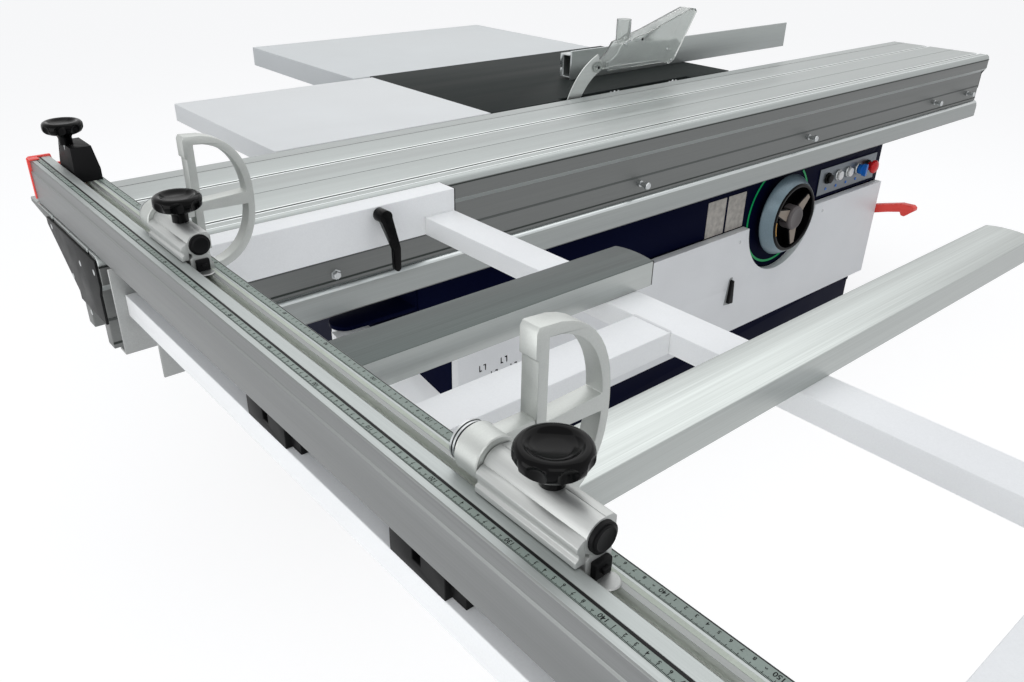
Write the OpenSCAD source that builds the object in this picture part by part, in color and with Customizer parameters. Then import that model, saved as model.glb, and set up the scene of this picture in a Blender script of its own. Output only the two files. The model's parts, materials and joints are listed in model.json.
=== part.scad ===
// Sliding table saw with an outrigger, a swinging support arm, a tilting saw unit and a rip fence.
// Millimetres. The origin is on the floor under the blade's axis. +X points to the infeed end,
// +Y from the outrigger to the rip fence side, and +Z up.

/* [Tables] */
// Height of the table surfaces above the floor
table_h = 870; // [830:1:910]
// Length of the cast-iron table behind the blade's axis
iron_back = 482; // [420:1:520]
// Length of the cast-iron table in front of the blade's axis
iron_front = 530; // [515:1:560]
// Depth of the cast-iron table across the machine
iron_w = 590; // [560:1:620]
// Depth of the rims and ribs under the cast-iron table
rim_h = 45; // [40:1:50]
// Thickness of the cast-iron table's plate
iron_t = 12; // [8:0.5:16]
// Length of the outfeed table
out_len = 613; // [400:1:700]
// Depth of the outfeed table across the machine
out_w = 575; // [400:1:620]
// Width of the rip-side table across the machine
rip_w = 686; // [500:1:800]
// Height of the folded edge of the rip-side table
rip_edge = 62; // [50:1:70]
// Gap between the carriage and the cast-iron table
table_gap = 7; // [5:0.5:10]

/* [Sliding carriage] */
// Length of the carriage and of the rail under it
car_len = 3200; // [2800:1:3400]
// Width of the carriage
car_w = 378; // [370:1:400]
// Height of the carriage
car_h = 168; // [160:1:180]
// Distance from the blade's plane to the carriage
car_off = 18; // [16:0.5:24]
// Width of the carriage's body below the slanted flank
car_body = 144; // [136:1:150]
// Width of the T-slots at the surface
slot_w = 10; // [8:0.5:12]
// Height of the base rail
rail_h = 60; // [50:1:70]
// Length of the middle carriage between rail and table
mid_len = 1380; // [1000:1:1390]
// How much earlier the base rail ends than the carriage, at the outfeed end
rail_short = 100; // [60:1:110]
// Running clearance between the rail, the middle carriage and the table
run_gap = 0.3; // [0.2:0.05:0.6]

/* [Cabinet] */
// Length of the cabinet behind the blade's axis
cab_back = 863; // [800:1:900]
// Length of the cabinet in front of the blade's axis
cab_front = 1040; // [1000:1:1100]
// Depth of the cabinet from the blade's plane to its back
cab_depth = 480; // [470:1:520]
// Distance from the blade's plane to the navy front panel
panel_y = 336; // [330:1:350]
// Height of the plinth
plinth_h = 138; // [100:1:160]
// Distance that the plinth stands back from the front panel
plinth_in = 24; // [10:1:40]
// Thickness of the plinth's bottom plate
foot_t = 8; // [5:0.5:12]
// Diameter of the anchor holes
anchor_d = 14; // [10:0.5:18]
// Distance of the anchor holes from the plinth's edges
anchor_in = 60; // [45:1:90]
// Thickness of the cabinet's sheet metal
sheet_t = 3; // [2:0.5:5]
// Height of the box beam that carries the rail
beam_h = 142; // [130:1:150]
// Depth of the box beam
beam_w = 137; // [120:1:140]
// Length of the beam behind the cabinet
beam_over = 87; // [60:1:120]
// Height of the service flap's top edge below the beam's top
flap_drop = 158; // [156:1:175]
// Thickness of the service flap
flap_t = 24; // [16:1:30]
// Outer diameter of the dust outlet
dust_d = 120; // [80:1:140]

/* [Controls] */
// Distance of the tilt handwheel in front of the blade's axis
wheel_x = 435; // [380:1:480]
// Height of the tilt handwheel's axis below the beam's top
wheel_drop = 152; // [150:1:154]
// Outer diameter of the tilt handwheel
wheel_d = 260; // [220:1:280]
// Diameter of the tilt handwheel's shaft
wheel_shaft_d = 18; // [14:0.5:18]
// Outer diameter of the rise handwheel
rise_wheel_d = 160; // [120:1:200]
// Diameter of the push buttons' bores
button_d = 22; // [20:0.5:24]
// Pitch of the controls along the panel
button_pitch = 63; // [52:1:66]
// Length of the control panel
ctl_len = 359; // [340:1:370]
// Height of the control panel
ctl_h = 90; // [70:1:92]

/* [Outrigger] */
// Length of the clamping tube along the carriage
tube_a_len = 637; // [600:1:700]
// Height of the clamping tube
tube_a_h = 80; // [60:1:84]
// Width of the clamping tube
tube_a_w = 50; // [40:1:60]
// Height of the frame tubes
tube_h = 36; // [30:1:40]
// Width of the frame tubes
tube_w = 70; // [60:1:80]
// Wall of all tubes
tube_t = 3; // [2:0.25:5]
// Reach of the frame from the blade's plane
frame_reach = 1700; // [1600:1:1800]
// Length of the first slat
slat1_len = 593; // [570:1:700]
// Length of the second slat
slat2_len = 1202; // [800:1:1300]
// Width of the slats
slat_w = 84; // [70:1:90]
// Rise of the slats' crown
slat_crown = 4; // [2:0.5:6]

/* [Cross-cut fence] */
// Width of the fence
fence_w = 92; // [86:1:100]
// Height of the fence's outer wall
fence_h = 78; // [70:1:90]
// Height of the fence's inner deck
deck_h = 60; // [54:1:66]
// Length of the fence
fence_len = 1650; // [1500:1:1750]
// Distance of the fence's end from the blade's plane
fence_off = 62; // [56:1:90]
// Length of a stop's body
stop_len = 120; // [100:1:130]
// Diameter of the hand knobs
knob_d = 65; // [50:1:72]
// Height that the stops' arms reach above the table
stop_h = 209; // [180:1:220]

/* [Support arm] */
// Distance of the arm's pivot behind the beam
arm_pivot_out = 158; // [150:1:200]
// Diameter of the arm's pivot pin
arm_pin_d = 25; // [20:0.5:30]
// Length of the outer arm
arm_len = 1150; // [1100:1:1200]
// Height of the outer arm
arm_h = 50; // [40:1:56]
// Width of the outer arm
arm_w = 80; // [60:1:90]
// Angle of the arm at rest from the square position
arm_rest = 8; // [6:0.5:10]
// Distance from the pivot to the roller head at rest
arm_reach = 1393; // [1360:1:1420]

/* [Saw unit] */
// Radius of the saw blade
blade_r = 125; // [110:0.5:126]
// Thickness of the saw blade
blade_t = 3.2; // [2.5:0.1:3.6]
// Number of the blade's teeth
blade_teeth = 48; // [24:1:72]
// Height of the table above the blade at rest, when the saw is lowered
blade_down = 2.5; // [1:0.5:6]
// Radius of the scoring blade
score_r = 60; // [50:1:62]
// Distance of the scoring blade in front of the main blade
score_x = 262; // [255:1:268]
// Diameter of the arbor in its housing
arbor_d = 30; // [25:0.5:35]
// Diameter of the arbor housing
housing_d = 70; // [60:1:74]
// Diameter of the motor
motor_d = 170; // [140:1:174]
// Length of the motor
motor_len = 225; // [180:1:240]
// Diameter of the arbor's pulley
pulley_d = 80; // [60:1:90]
// Diameter of the motor's pulley
motor_pulley_d = 120; // [90:1:130]
// Radius of the tilting trunnions
trunnion_r = 312; // [305:0.5:314]
// Diameter of the rise columns
column_d = 30; // [24:0.5:34]
// Running clearance of the shafts and pins, radial
fit = 0.05; // [0.02:0.01:0.1]

/* [Guard] */
// Thickness of the riving knife
knife_t = 2.8; // [2:0.1:3]
// Width of the riving knife
knife_w = 47; // [40:1:50]
// Radius of the riving knife's inner edge, which clears the largest blade
knife_r = 165; // [160:0.5:166]
// Height of the knife's centre above the arbor
knife_up = 40; // [36:1:42]
// Width of the guard hood
hood_w = 44; // [34:1:46]
// Wall of the guard hood
hood_t = 3; // [2:0.25:4]

/* [Rip fence] */
// Distance from the blade's plane to the rip fence
rip_at = 174; // [170:1:300]
// Length of the rip fence
ripf_len = 1130; // [900:1:1200]
// Height of the rip fence
ripf_h = 85; // [70:1:100]
// Depth of the rip fence's box section
ripf_w = 50; // [40:1:56]
// Diameter of the guide bar
bar_d = 30; // [24:0.5:32]

/* [Hidden] */
$fn = 48;
// Clearance between bodies that do not fit into each other
clear = 0.3;
// Overlap of fused shapes and overshoot of cuts
over = 1;

// Heights of the main levels
rail_top = table_h - car_h;
deck_z = rail_top - rail_h;
beam_z = deck_z - beam_h;
flap_top = deck_z - flap_drop;
// Ends of the carriage and rail, and the sides across the machine
car_x0 = 6 - car_len / 2;
car_x1 = car_x0 + car_len;
car_y0 = -car_off - car_w;
car_y1 = -car_off;
body_y0 = car_y0 + 14;
body_y1 = car_y0 + car_body;
iron_y0 = car_y1 + table_gap;
iron_y1 = iron_y0 + iron_w;
beam_y1 = beam_w - panel_y;
// Channel of the middle carriage, its width and its depths in rail and carriage
channel_y = (body_y0 + body_y1) / 2;
channel_w = 72;
rail_channel = 30;
car_channel = 42;
shell_front = -panel_y;
// Ends of the raised box that carries the cast-iron table over the saw unit
pit_x0 = -440;
pit_x1 = 478;
pit_y0 = 40;
// Dust outlet, and the axis of the rise handwheel
dust_x = -300;
dust_z = plinth_h + 192;
dust_len = 60;
rise_y = 150;
rise_z = deck_z - 222;
// Latch and louvres of the service flap
latch_x = 192;
latch_z = plinth_h + 162;
louvre_w = 22;
louvre_h = 18;
louvre_slot = 4;
louvre_at = [[-788, 368], [-721, 368], [-751, 340], [-689, 340]];
// Axes of the saw unit
arbor_z = table_h - blade_down - blade_r;
score_z = table_h - score_r - 1;
motor_x = -170;
motor_z = arbor_z - 112;
belt_y = 160;
col_y = 90;
col_x = [90, 200];
score_col_x = 320;
score_col_d = 24;
trunnion_x = [-350, 380];
trunnion_t = 20;
block_half = 28;
// Bolt that the guard hood turns on
guard_x = -87;
guard_z = table_h + 73;
guard_bolt_d = 8;
// Places of the handwheel's axis and the controls
wheel_z = deck_z - wheel_drop;
panel_t = 4;
panel_lip = 12;
ctl_x0 = 649;
ctl_z0 = beam_z;
ctl_z = ctl_z0 + 53;
ctl_x = [for (i = [0 : 4]) ctl_x0 + 53 + i * button_pitch];
ctl_t = 3;
// Outrigger frame levels and places
frame_top = table_h - 46;
frame_bot = frame_top - tube_h;
tube_a_x0 = car_x0 + 24;
tube_a_x1 = tube_a_x0 + tube_a_len;
seal_t = 5;
tube_a_y1 = car_y0 - seal_t;
tube_a_y0 = tube_a_y1 - tube_a_w;
tube_a_z0 = frame_bot;
tube_b_x = tube_a_x1 - 2 - tube_w;
tube_d_x = tube_a_x0 - 5;
tube_c_y = -1069;
tube_f_y = -frame_reach;
slat_x0 = car_x0 + 99;
slat1_y = -940;
slat2_y = -1284;
// Fence rests on the outer tube as [y, length], and the plates that hang beside it
rest_at = [[-1288, 90], [-985, 97]];
rest_groove = 14;
hang_z = rail_top + 21;
hang_t = 4;
hang_x0 = tube_d_x - 17;
hang_x1 = tube_d_x + 42;
small_y = -558;
// Fence levels and places
fence_x0 = car_x0 + 7;
fence_x1 = fence_x0 + fence_w;
fence_z = table_h + 2;
fence_y1 = -fence_off;
fence_y0 = fence_y1 - fence_len;
t_slot_y = -158;
t_slot_near_y = car_y0 + 44;
slot_lip = 8;
slot_depth = 10;
pivot_x = fence_x0 + 46;
pivot_top = table_h + 120;
stud_d = slot_w - 0.5;
key_x = fence_x0 + 55;
// Stops: places along the fence, barrel, pin and body
stop_y = [-629, -1367];
stop_x0 = fence_x0 + 39;
stop_w = 33;
stop_z0 = fence_z + deck_h + clear;
stop_axis_x = stop_x0 + 17;
stop_axis_z = stop_z0 + 38;
stop_pin_d = 12;
stop_barrel_d = 32;
// Support arm, its pivot and its roller head
arm_x = -cab_back - beam_over - arm_pivot_out;
arm_y = -290;
arm_z = beam_z + 10;
lug_t = 9.5;
arm_wall = 4;
arm_roller_d = 60;
arm_roller_w = 44;
arm_axle_d = 12;
arm_roller_z = frame_bot - clear - arm_roller_d / 2;
// Service flap hinge
hinge_y = -panel_y - 5;
hinge_z = plinth_h + 9;
// Rip fence
ripf_x0 = -15;
ripf_y1 = rip_at + ripf_w;
bar_x = iron_front - 25;
bar_z = table_h - rim_h - 6 - bar_d / 2;
lever_x = cab_front + 16;
lever_y = -284;
lever_z = plinth_h + 234;

// Box between two opposite corners
module box(a, b) {
    translate(a) cube(b - a);
}

// Round bar along X, Y or Z from a point
module rod_x(p, d, l) {
    translate(p) rotate([0, 90, 0]) cylinder(d = d, h = l);
}
module rod_y(p, d, l) {
    translate(p) rotate([-90, 0, 0]) cylinder(d = d, h = l);
}
module rod_z(p, d, l) {
    translate(p) cylinder(d = d, h = l);
}

// Profile in Y and Z, drawn along X from x0 to x1
module along_x(x0, x1) {
    translate([x0, 0, 0]) rotate([90, 0, 90]) linear_extrude(x1 - x0) children();
}

// Profile in X and Z, drawn along Y from y0 to y1
module along_y(y0, y1) {
    translate([0, y1, 0]) rotate([90, 0, 0]) linear_extrude(y1 - y0) children();
}

// Box tube along X or Y with an open bore
module tube_along_y(x0, y0, z0, w, h, l) {
    difference() {
        box([x0, y0, z0], [x0 + w, y0 + l, z0 + h]);
        box([x0 + tube_t, y0 - over, z0 + tube_t], [x0 + w - tube_t, y0 + l + over, z0 + h - tube_t]);
    }
}
module tube_along_x(x0, y0, z0, w, h, l) {
    difference() {
        box([x0, y0, z0], [x0 + l, y0 + w, z0 + h]);
        box([x0 - over, y0 + tube_t, z0 + tube_t], [x0 + l + over, y0 + w - tube_t, z0 + h - tube_t]);
    }
}

// Sector of a ring in 2D, angles counted from +X
module ring_sector(r0, r1, a0, a1) {
    steps = 12;
    far = r1 * 1.2;
    intersection() {
        difference() {
            circle(r1, $fn = 96);
            circle(r0, $fn = 96);
        }
        polygon(concat([[0, 0]], [for (i = [0 : steps]) let(a = a0 + (a1 - a0) * i / steps)
            [far * cos(a), far * sin(a)]]));
    }
}

// T-slot cut into a surface at height z, in profile
module t_slot_cut(y, z, w) {
    translate([y - w / 2, z - slot_lip]) square([w, slot_lip + over]);
    translate([y - w, z - slot_lip - slot_depth]) square([2 * w, slot_depth]);
}

module plinth() {
    x0 = -cab_back;
    x1 = cab_front;
    y0 = plinth_in - panel_y;
    y1 = cab_depth;
    wall = 4;
    color("midnightblue") {
        difference() {
            box([x0, y0, 0], [x1, y1, plinth_h]);
            box([x0 + wall, y0 + wall, foot_t], [x1 - wall, y1 - wall, plinth_h + over]);
            for (x = [x0 + anchor_in, x1 - anchor_in])
                for (y = [y0 + anchor_in, y1 - anchor_in])
                    rod_z([x, y, -over], anchor_d, foot_t + 2 * over);
        }
        // Hinge lugs of the service flap, each with its pin
        for (x = [x0 + 30, x1 - 50]) {
            box([x, hinge_y - 5, hinge_z - 5], [x + 4, y0, hinge_z + 4]);
            box([x, hinge_y + 11, plinth_h - 38], [x + 20, y0, hinge_z - 4]);
            rod_x([x + 3, hinge_y, hinge_z], 8, 17);
        }
    }
}

module cabinet_shell() {
    x0 = -cab_back;
    x1 = cab_front;
    y0 = shell_front;
    y1 = cab_depth;
    t = sheet_t;
    z1 = table_h - rim_h;
    color("midnightblue") difference() {
        union() {
            // End walls and back wall on the plinth
            box([x0, y0, plinth_h], [x0 + t, y1, deck_z]);
            box([x1 - t, y0, plinth_h], [x1, y1, deck_z]);
            box([x0, y1 - t, plinth_h], [x1, y1, deck_z]);
            // Deck with the raised box that stands on it, open to the saw unit
            box([x0, beam_y1, deck_z - t], [x1, y1, deck_z]);
            box([pit_x0, pit_y0, deck_z - t], [pit_x1, y1, z1]);
        }
        box([pit_x0 + t, beam_y1 - over, deck_z - t - over], [pit_x1 - t, y1 - t, z1 + over]);
        // Notches for the box beam, its front panel and the flap's lower edge
        box([x0 - over, y0 - over, beam_z], [x1 + over, beam_y1, deck_z + over]);
        box([x0 - over, y0 - over, beam_z - panel_lip], [x1 + over, y0 + panel_t, deck_z + over]);
        box([x0 - over, y0 - over, plinth_h - over], [x1 + over, y0 + 12, plinth_h + 24]);
        // Dust outlet, rise wheel shaft and red lever shaft
        rod_y([dust_x, y1 - t - over, dust_z], dust_d - 8, t + 2 * over);
        rod_x([x1 - t - over, rise_y, rise_z], 16 + 2 * fit, t + 2 * over);
        rod_x([x1 - t - over, lever_y, lever_z], 14 + 2 * fit, t + 2 * over);
    }
}

module dust_spigot() {
    // Flanged sleeve that the extraction hose slides over
    color("silver") difference() {
        union() {
            rod_y([dust_x, cab_depth, dust_z], dust_d, dust_len);
            rod_y([dust_x, cab_depth, dust_z], dust_d + 50, 2);
        }
        rod_y([dust_x, cab_depth - over, dust_z], dust_d - 8, dust_len + 2 * over);
        for (a = [0 : 60 : 300])
            translate([dust_x, 0, dust_z])
                rod_y([(dust_d / 2 + 14) * cos(a), cab_depth - over, (dust_d / 2 + 14) * sin(a)], 5, 4);
    }
}

module support_beam() {
    x0 = -cab_back - beam_over;
    x1 = cab_front;
    y0 = panel_t - panel_y;
    t = 4;
    color("midnightblue") {
        // Box beam with a closed outfeed end
        difference() {
            box([x0, y0, beam_z], [x1, beam_y1, deck_z]);
            box([x0 + t, y0 + t, beam_z + t], [x1 - t, beam_y1 - t, deck_z - t]);
            for (x = ctl_x)
                rod_y([x, y0 - over, ctl_z], button_d + 8, t + 2 * over);
        }
        // Front panel with its round lobe behind the handwheel
        difference() {
            union() {
                box([x0, -panel_y, beam_z - panel_lip], [x1, y0, deck_z]);
                rod_y([wheel_x, -panel_y, wheel_z], 356, panel_t);
            }
            box([x0 - over, -panel_y - over, deck_z], [x1 + over, y0 + over, deck_z + 100]);
            rod_y([wheel_x, -panel_y - over, wheel_z], wheel_shaft_d + 2 * fit, panel_t + 2 * over);
            for (x = ctl_x)
                rod_y([x, -panel_y - over, ctl_z], button_d + 8, panel_t + 2 * over);
        }
    }
}

module control_panel() {
    color("gainsboro") difference() {
        box([ctl_x0, -panel_y - ctl_t, ctl_z0], [ctl_x0 + ctl_len, -panel_y, ctl_z0 + ctl_h]);
        for (x = ctl_x)
            rod_y([x, -panel_y - ctl_t - over, ctl_z], button_d, ctl_t + 2 * over);
    }
}

module tilt_cradles() {
    bar = 40;
    bar_top = table_h - trunnion_r - clear - 28;
    color("dimgray") for (x = trunnion_x) {
        // Cross bar from the beam to the back wall
        box([x, beam_y1, bar_top - bar], [x + trunnion_t, cab_depth - sheet_t, bar_top]);
        // Hollow arc that the trunnion turns in
        along_x(x, x + trunnion_t) intersection() {
            translate([0, table_h]) ring_sector(trunnion_r + clear, trunnion_r + 60, 250, 295);
            translate([-200, bar_top]) square([400, 60]);
        }
    }
}

module iron_table() {
    x0 = -iron_back;
    x1 = iron_front;
    z0 = table_h - rim_h;
    color("slategray") difference() {
        box([x0, iron_y0, z0], [x1, iron_y1, table_h]);
        // Underside between the rims, open towards the saw unit
        box([x0 + 14, iron_y0 - over, z0 - over], [x1 - 14, 205, table_h - iron_t]);
        for (i = [0 : 3]) {
            w = (x1 - x0 - 14) / 4;
            x = x0 + 14 + i * w;
            box([x, 219, z0 - over], [x + w - 14, iron_y1 - 14, table_h - iron_t]);
        }
        // Mouth for the blades and the riving knife
        box([-225, iron_y0 - over, z0 - over], [score_x + score_r + 12, 8, table_h + over]);
    }
}

module outfeed_table() {
    x1 = -iron_back;
    x0 = x1 - out_len;
    z0 = table_h - rim_h;
    t = 4;
    color("whitesmoke") difference() {
        box([x0, iron_y0, z0], [x1, iron_y0 + out_w, table_h]);
        box([x0 + t, iron_y0 + t, z0 - over], [x1 - t, iron_y0 + out_w - t, table_h - 18]);
    }
}

module ripside_table() {
    z0 = table_h - rip_edge;
    x0 = -540;
    x1 = 480;
    t = 4;
    color("whitesmoke") difference() {
        box([x0, iron_y1, z0], [x1, iron_y1 + rip_w, table_h]);
        box([x0 + t, iron_y1 + t, z0 - over], [x1 - t, iron_y1 + rip_w - t, table_h - 18]);
    }
}

module table_braces() {
    // Slanted struts from the cabinet's back wall to the rip-side table's underside
    t = 6;
    y0 = cab_depth;
    y1 = iron_y1 + rip_w - 80;
    z1 = table_h - 18;
    z0 = deck_z - 150;
    color("midnightblue") for (x = [-330, 270]) {
        along_x(x, x + 40) polygon([
            [y0, z0], [y0 + t, z0], [y1, z1 - t], [y1, z1], [iron_y1 + 4, z1],
            [iron_y1 + 4, z1 - t], [y1 - 40, z1 - t], [y0 + t, z0 + 40], [y0, z0 + 40]
        ]);
    }
}

module base_rail() {
    top = rail_top - run_gap;
    color("silver") along_x(car_x0 + rail_short, car_x1) difference() {
        polygon([
            [body_y0, top], [body_y0 - 5, top - 2], [body_y0 - 9, top - 8], [body_y0 - 12, top - 20],
            [body_y0 - 12, deck_z + 4], [body_y0 - 8, deck_z], [body_y1, deck_z], [body_y1, top]
        ]);
        translate([channel_y - channel_w / 2, top - rail_channel]) square([channel_w, rail_channel + over]);
        translate([body_y0 - 6, deck_z + 6]) square([30, 44]);
        translate([body_y1 - 28, deck_z + 6]) square([22, 44]);
        translate([body_y0 + 30, deck_z + 6]) square([body_y1 - body_y0 - 64, 16]);
    }
}

module middle_carriage() {
    x0 = -mid_len / 2;
    floor_z = rail_top - run_gap - rail_channel;
    roof_z = rail_top + car_channel;
    roller_d = roof_z - floor_z - 2 * run_gap;
    axle_z = (floor_z + roof_z) / 2;
    axle_x = [for (i = [0 : 4]) x0 + 60 + i * (mid_len - 120) / 4];
    // Bearer with a bore for each axle
    color("gray") difference() {
        box([x0, channel_y - 12, floor_z + 6], [x0 + mid_len, channel_y + 12, roof_z - 6]);
        for (x = axle_x)
            rod_y([x, channel_y - 13, axle_z], 10, 26);
    }
    // Rollers on both sides, each pair on its own axle, between the rail and the carriage
    color("dimgray") for (x = axle_x) {
        rod_y([x, channel_y - 34, axle_z], 10, 68);
        rod_y([x, channel_y - 34, axle_z], roller_d, 20);
        rod_y([x, channel_y + 14, axle_z], roller_d, 20);
    }
}

module carriage_outline() {
    z = table_h;
    z0 = rail_top;
    slant = car_y1 - 111;
    difference() {
        polygon([
            [car_y0, z - 14], [car_y0 + 2, z - 6], [car_y0 + 8, z], [car_y1, z], [car_y1, z - 9],
            [slant, z - 20], [body_y1, z - 107], [body_y1, z0], [body_y0, z0],
            [body_y0, z - 62], [car_y0, z - 48]
        ]);
        // Channel for the middle carriage
        translate([channel_y - channel_w / 2, z0 - over]) square([channel_w, car_channel + over]);
        t_slot_cut(t_slot_near_y, z, slot_w);
        t_slot_cut(t_slot_y, z, slot_w);
        // Chambers of the extrusion
        polygon([
            [body_y0 + 6, z0 + 50], [body_y1 - 8, z0 + 50], [body_y1 - 8, z - 104],
            [slant - 50, z - 49], [slant - 50, z - 28], [body_y0 + 6, z - 28]
        ]);
    }
}

module carriage_profile() {
    color("lightgray") along_x(car_x0 + 4, car_x1 - 4) carriage_outline();
}

module carriage_ends() {
    z = table_h - 7;
    z0 = rail_top + 46;
    slant = car_y1 - 111;
    color("black") for (x = [car_x0, car_x1 - 4]) {
        along_x(x, x + 4) polygon([
            [car_y0 + 4, z], [slant, z], [slant, z - 13], [body_y1, z - 100], [body_y1, z0],
            [body_y0, z0], [body_y0, z - 62], [car_y0 + 4, z - 44]
        ]);
    }
}

module arm_bracket() {
    x1 = -cab_back - beam_over;
    t = 4;
    color("midnightblue") {
        box([x1 - t, -panel_y + panel_t, beam_z], [x1, beam_y1, deck_z]);
        difference() {
            union() for (z = [beam_z, arm_z + arm_h + 0.5]) {
                hull() {
                    rod_z([arm_x, arm_y, z], 70, lug_t);
                    box([x1 - t - 1, arm_y - 40, z], [x1 - t, arm_y + 60, z + lug_t]);
                }
            }
            rod_z([arm_x, arm_y, beam_z - over], arm_pin_d, arm_h + 60);
        }
        rod_z([arm_x, arm_y, beam_z], arm_pin_d, arm_h + 20);
    }
}

// Places a piece of the arm, drawn along +X from the pivot, at its rest angle
module on_arm() {
    translate([arm_x, arm_y, 0]) rotate([0, 0, 270 - arm_rest]) children();
}

module swing_arm() {
    z = arm_z;
    in_w = arm_w - 2 * arm_wall;
    color("whitesmoke") on_arm() difference() {
        union() {
            box([20, -arm_w / 2, z], [arm_len, arm_w / 2, z + arm_h]);
            rod_z([0, 0, z], 60, arm_h);
        }
        box([60, -in_w / 2, z + arm_wall], [arm_len + over, in_w / 2, z + arm_h - arm_wall]);
        rod_z([0, 0, z - over], arm_pin_d + 2 * fit, arm_h + 2 * over);
    }
}

module inner_arm() {
    in_w = arm_w - 2 * arm_wall - 2 * clear;
    z0 = arm_z + arm_wall + clear;
    z1 = arm_z + arm_h - arm_wall - clear;
    x1 = arm_reach + 30;
    fork_z = arm_roller_z - arm_roller_d / 2 - 16;
    fork_half = arm_roller_w / 2 + clear;
    cheek = 6;
    color("silver") on_arm() {
        difference() {
            box([120, -in_w / 2, z0], [x1, in_w / 2, z1]);
            box([120 - over, -in_w / 2 + 4, z0 + 4], [x1 + over, in_w / 2 - 4, z1 - 4]);
        }
        // Post with its fork and the roller's axle
        rod_z([arm_reach, 0, z1 - 1], 44, fork_z - z1 + 2);
        box([arm_reach - 20, -fork_half - cheek, fork_z], [arm_reach + 20, fork_half + cheek, fork_z + 10]);
        for (y = [-fork_half - cheek, fork_half])
            box([arm_reach - 14, y, fork_z + 9], [arm_reach + 14, y + cheek, arm_roller_z + 12]);
        rod_y([arm_reach, -fork_half - 1, arm_roller_z], arm_axle_d, 2 * fork_half + 2);
    }
}

// Roller that the frame rests on
module arm_roller() {
    color("black") on_arm() difference() {
        rod_y([arm_reach, -arm_roller_w / 2, arm_roller_z], arm_roller_d, arm_roller_w);
        rod_y([arm_reach, -arm_roller_w / 2 - over, arm_roller_z], arm_axle_d + 2 * fit,
            arm_roller_w + 2 * over);
    }
}

module tube_a() {
    color("white") tube_along_x(tube_a_x0, tube_a_y0, tube_a_z0, tube_a_w, tube_a_h, tube_a_len);
    // Black seal between the tube and the carriage
    color("black") box(
        [tube_a_x0, tube_a_y1, tube_a_z0 + 38],
        [tube_a_x1, tube_a_y1 + seal_t - clear, tube_a_z0 + tube_a_h - 4]);
}

module side_tubes() {
    color("white") {
        tube_along_y(tube_b_x, tube_f_y, frame_bot, tube_w, tube_h, tube_a_y0 - tube_f_y);
        tube_along_y(tube_d_x, tube_f_y, frame_bot, tube_w, tube_h, tube_a_y0 - hang_t - tube_f_y);
    }
}

module cross_tubes() {
    x0 = tube_d_x + tube_w;
    color("white") {
        tube_along_x(x0, tube_c_y, frame_bot, tube_w + 3, tube_h, tube_b_x - x0);
        tube_along_x(x0, tube_f_y, frame_bot, tube_w, tube_h, tube_b_x - x0);
    }
}

// Crowned hollow slat from x0 along X, resting on the frame tubes
module slat(y, len) {
    z0 = frame_top;
    z1 = table_h + 1;
    t = 3;
    crown = slat_w * slat_w / (8 * slat_crown) + slat_crown / 2;
    color("silver") along_x(slat_x0, slat_x0 + len) difference() {
        intersection() {
            translate([y, z0]) square([slat_w, z1 - z0]);
            translate([y + slat_w / 2, z1 - crown]) circle(crown, $fn = 240);
        }
        translate([y + t, z0 + t]) square([slat_w - 2 * t, z1 - z0 - slat_crown - 2 * t]);
    }
}

module slat_1() {
    slat(slat1_y, slat1_len);
}

module slat_2() {
    slat(slat2_y, slat2_len);
}

module end_caps() {
    t = 3;
    color("black") {
        // Caps on both ends of the slats
        for (s = [[slat1_y, slat1_len], [slat2_y, slat2_len]])
            for (x = [slat_x0 - t, slat_x0 + s[1]])
                box([x, s[0] + 1, frame_top], [x + t, s[0] + slat_w - 1, table_h - slat_crown + 0.5]);
        // Caps on the clamping tube
        for (x = [tube_a_x0 - t, tube_a_x1])
            box([x, tube_a_y0 + 1, tube_a_z0 + 1], [x + t, tube_a_y1 - 1, tube_a_z0 + tube_a_h - 1]);
        // Caps on the frame tubes' outer ends
        for (x = [tube_b_x, tube_d_x])
            box([x + 1, tube_f_y - t, frame_bot + 1], [x + tube_w - 1, tube_f_y, frame_top - 1]);
    }
}

module outrigger_fittings() {
    top = fence_z - clear;
    // Notched rests for the fence on the outer tube
    color("dimgray") for (c = rest_at) {
        middle = c[0] + c[1] / 2;
        difference() {
            box([tube_d_x, c[0], frame_top], [tube_d_x + tube_w, c[0] + c[1], top]);
            box([tube_d_x - over, middle - rest_groove / 2, frame_top + 14],
                [tube_d_x + tube_w + over, middle + rest_groove / 2, top + over]);
        }
        box([tube_d_x + 8, c[0] - 21, frame_top], [tube_d_x + tube_w - 8, c[0], top - 6]);
    }
    // Bent hanger plate at the outfeed end of the clamping tube
    color("lightgray") {
        box([hang_x0, tube_a_y0 - hang_t, hang_z], [hang_x1, tube_a_y0, table_h]);
        box([hang_x0, tube_a_y0, hang_z], [hang_x1, tube_a_y0 + 22, hang_z + hang_t]);
    }
    // Small bent bracket under the outer tube
    color("gray") {
        box([tube_d_x + 5, small_y, hang_z - 3], [hang_x1, small_y + hang_t, frame_bot]);
        box([tube_d_x + 5, small_y + hang_t, frame_bot - hang_t], [hang_x1, small_y + 28, frame_bot]);
    }
}

module clamp_lever() {
    x = tube_a_x0 + 462;
    z = tube_a_z0 + 65;
    color("black") {
        rod_y([x, tube_a_y0 - 26, z], 26, 26 - clear);
        // Handle that hangs from the boss
        hull() {
            rod_y([x, tube_a_y0 - 26, z], 24, 12);
            rod_y([x + 12, tube_a_y0 - 40, z - 60], 14, 12);
        }
        hull() {
            rod_y([x + 12, tube_a_y0 - 40, z - 60], 14, 12);
            rod_y([x + 8, tube_a_y0 - 46, z - 96], 12, 12);
        }
    }
}

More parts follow.
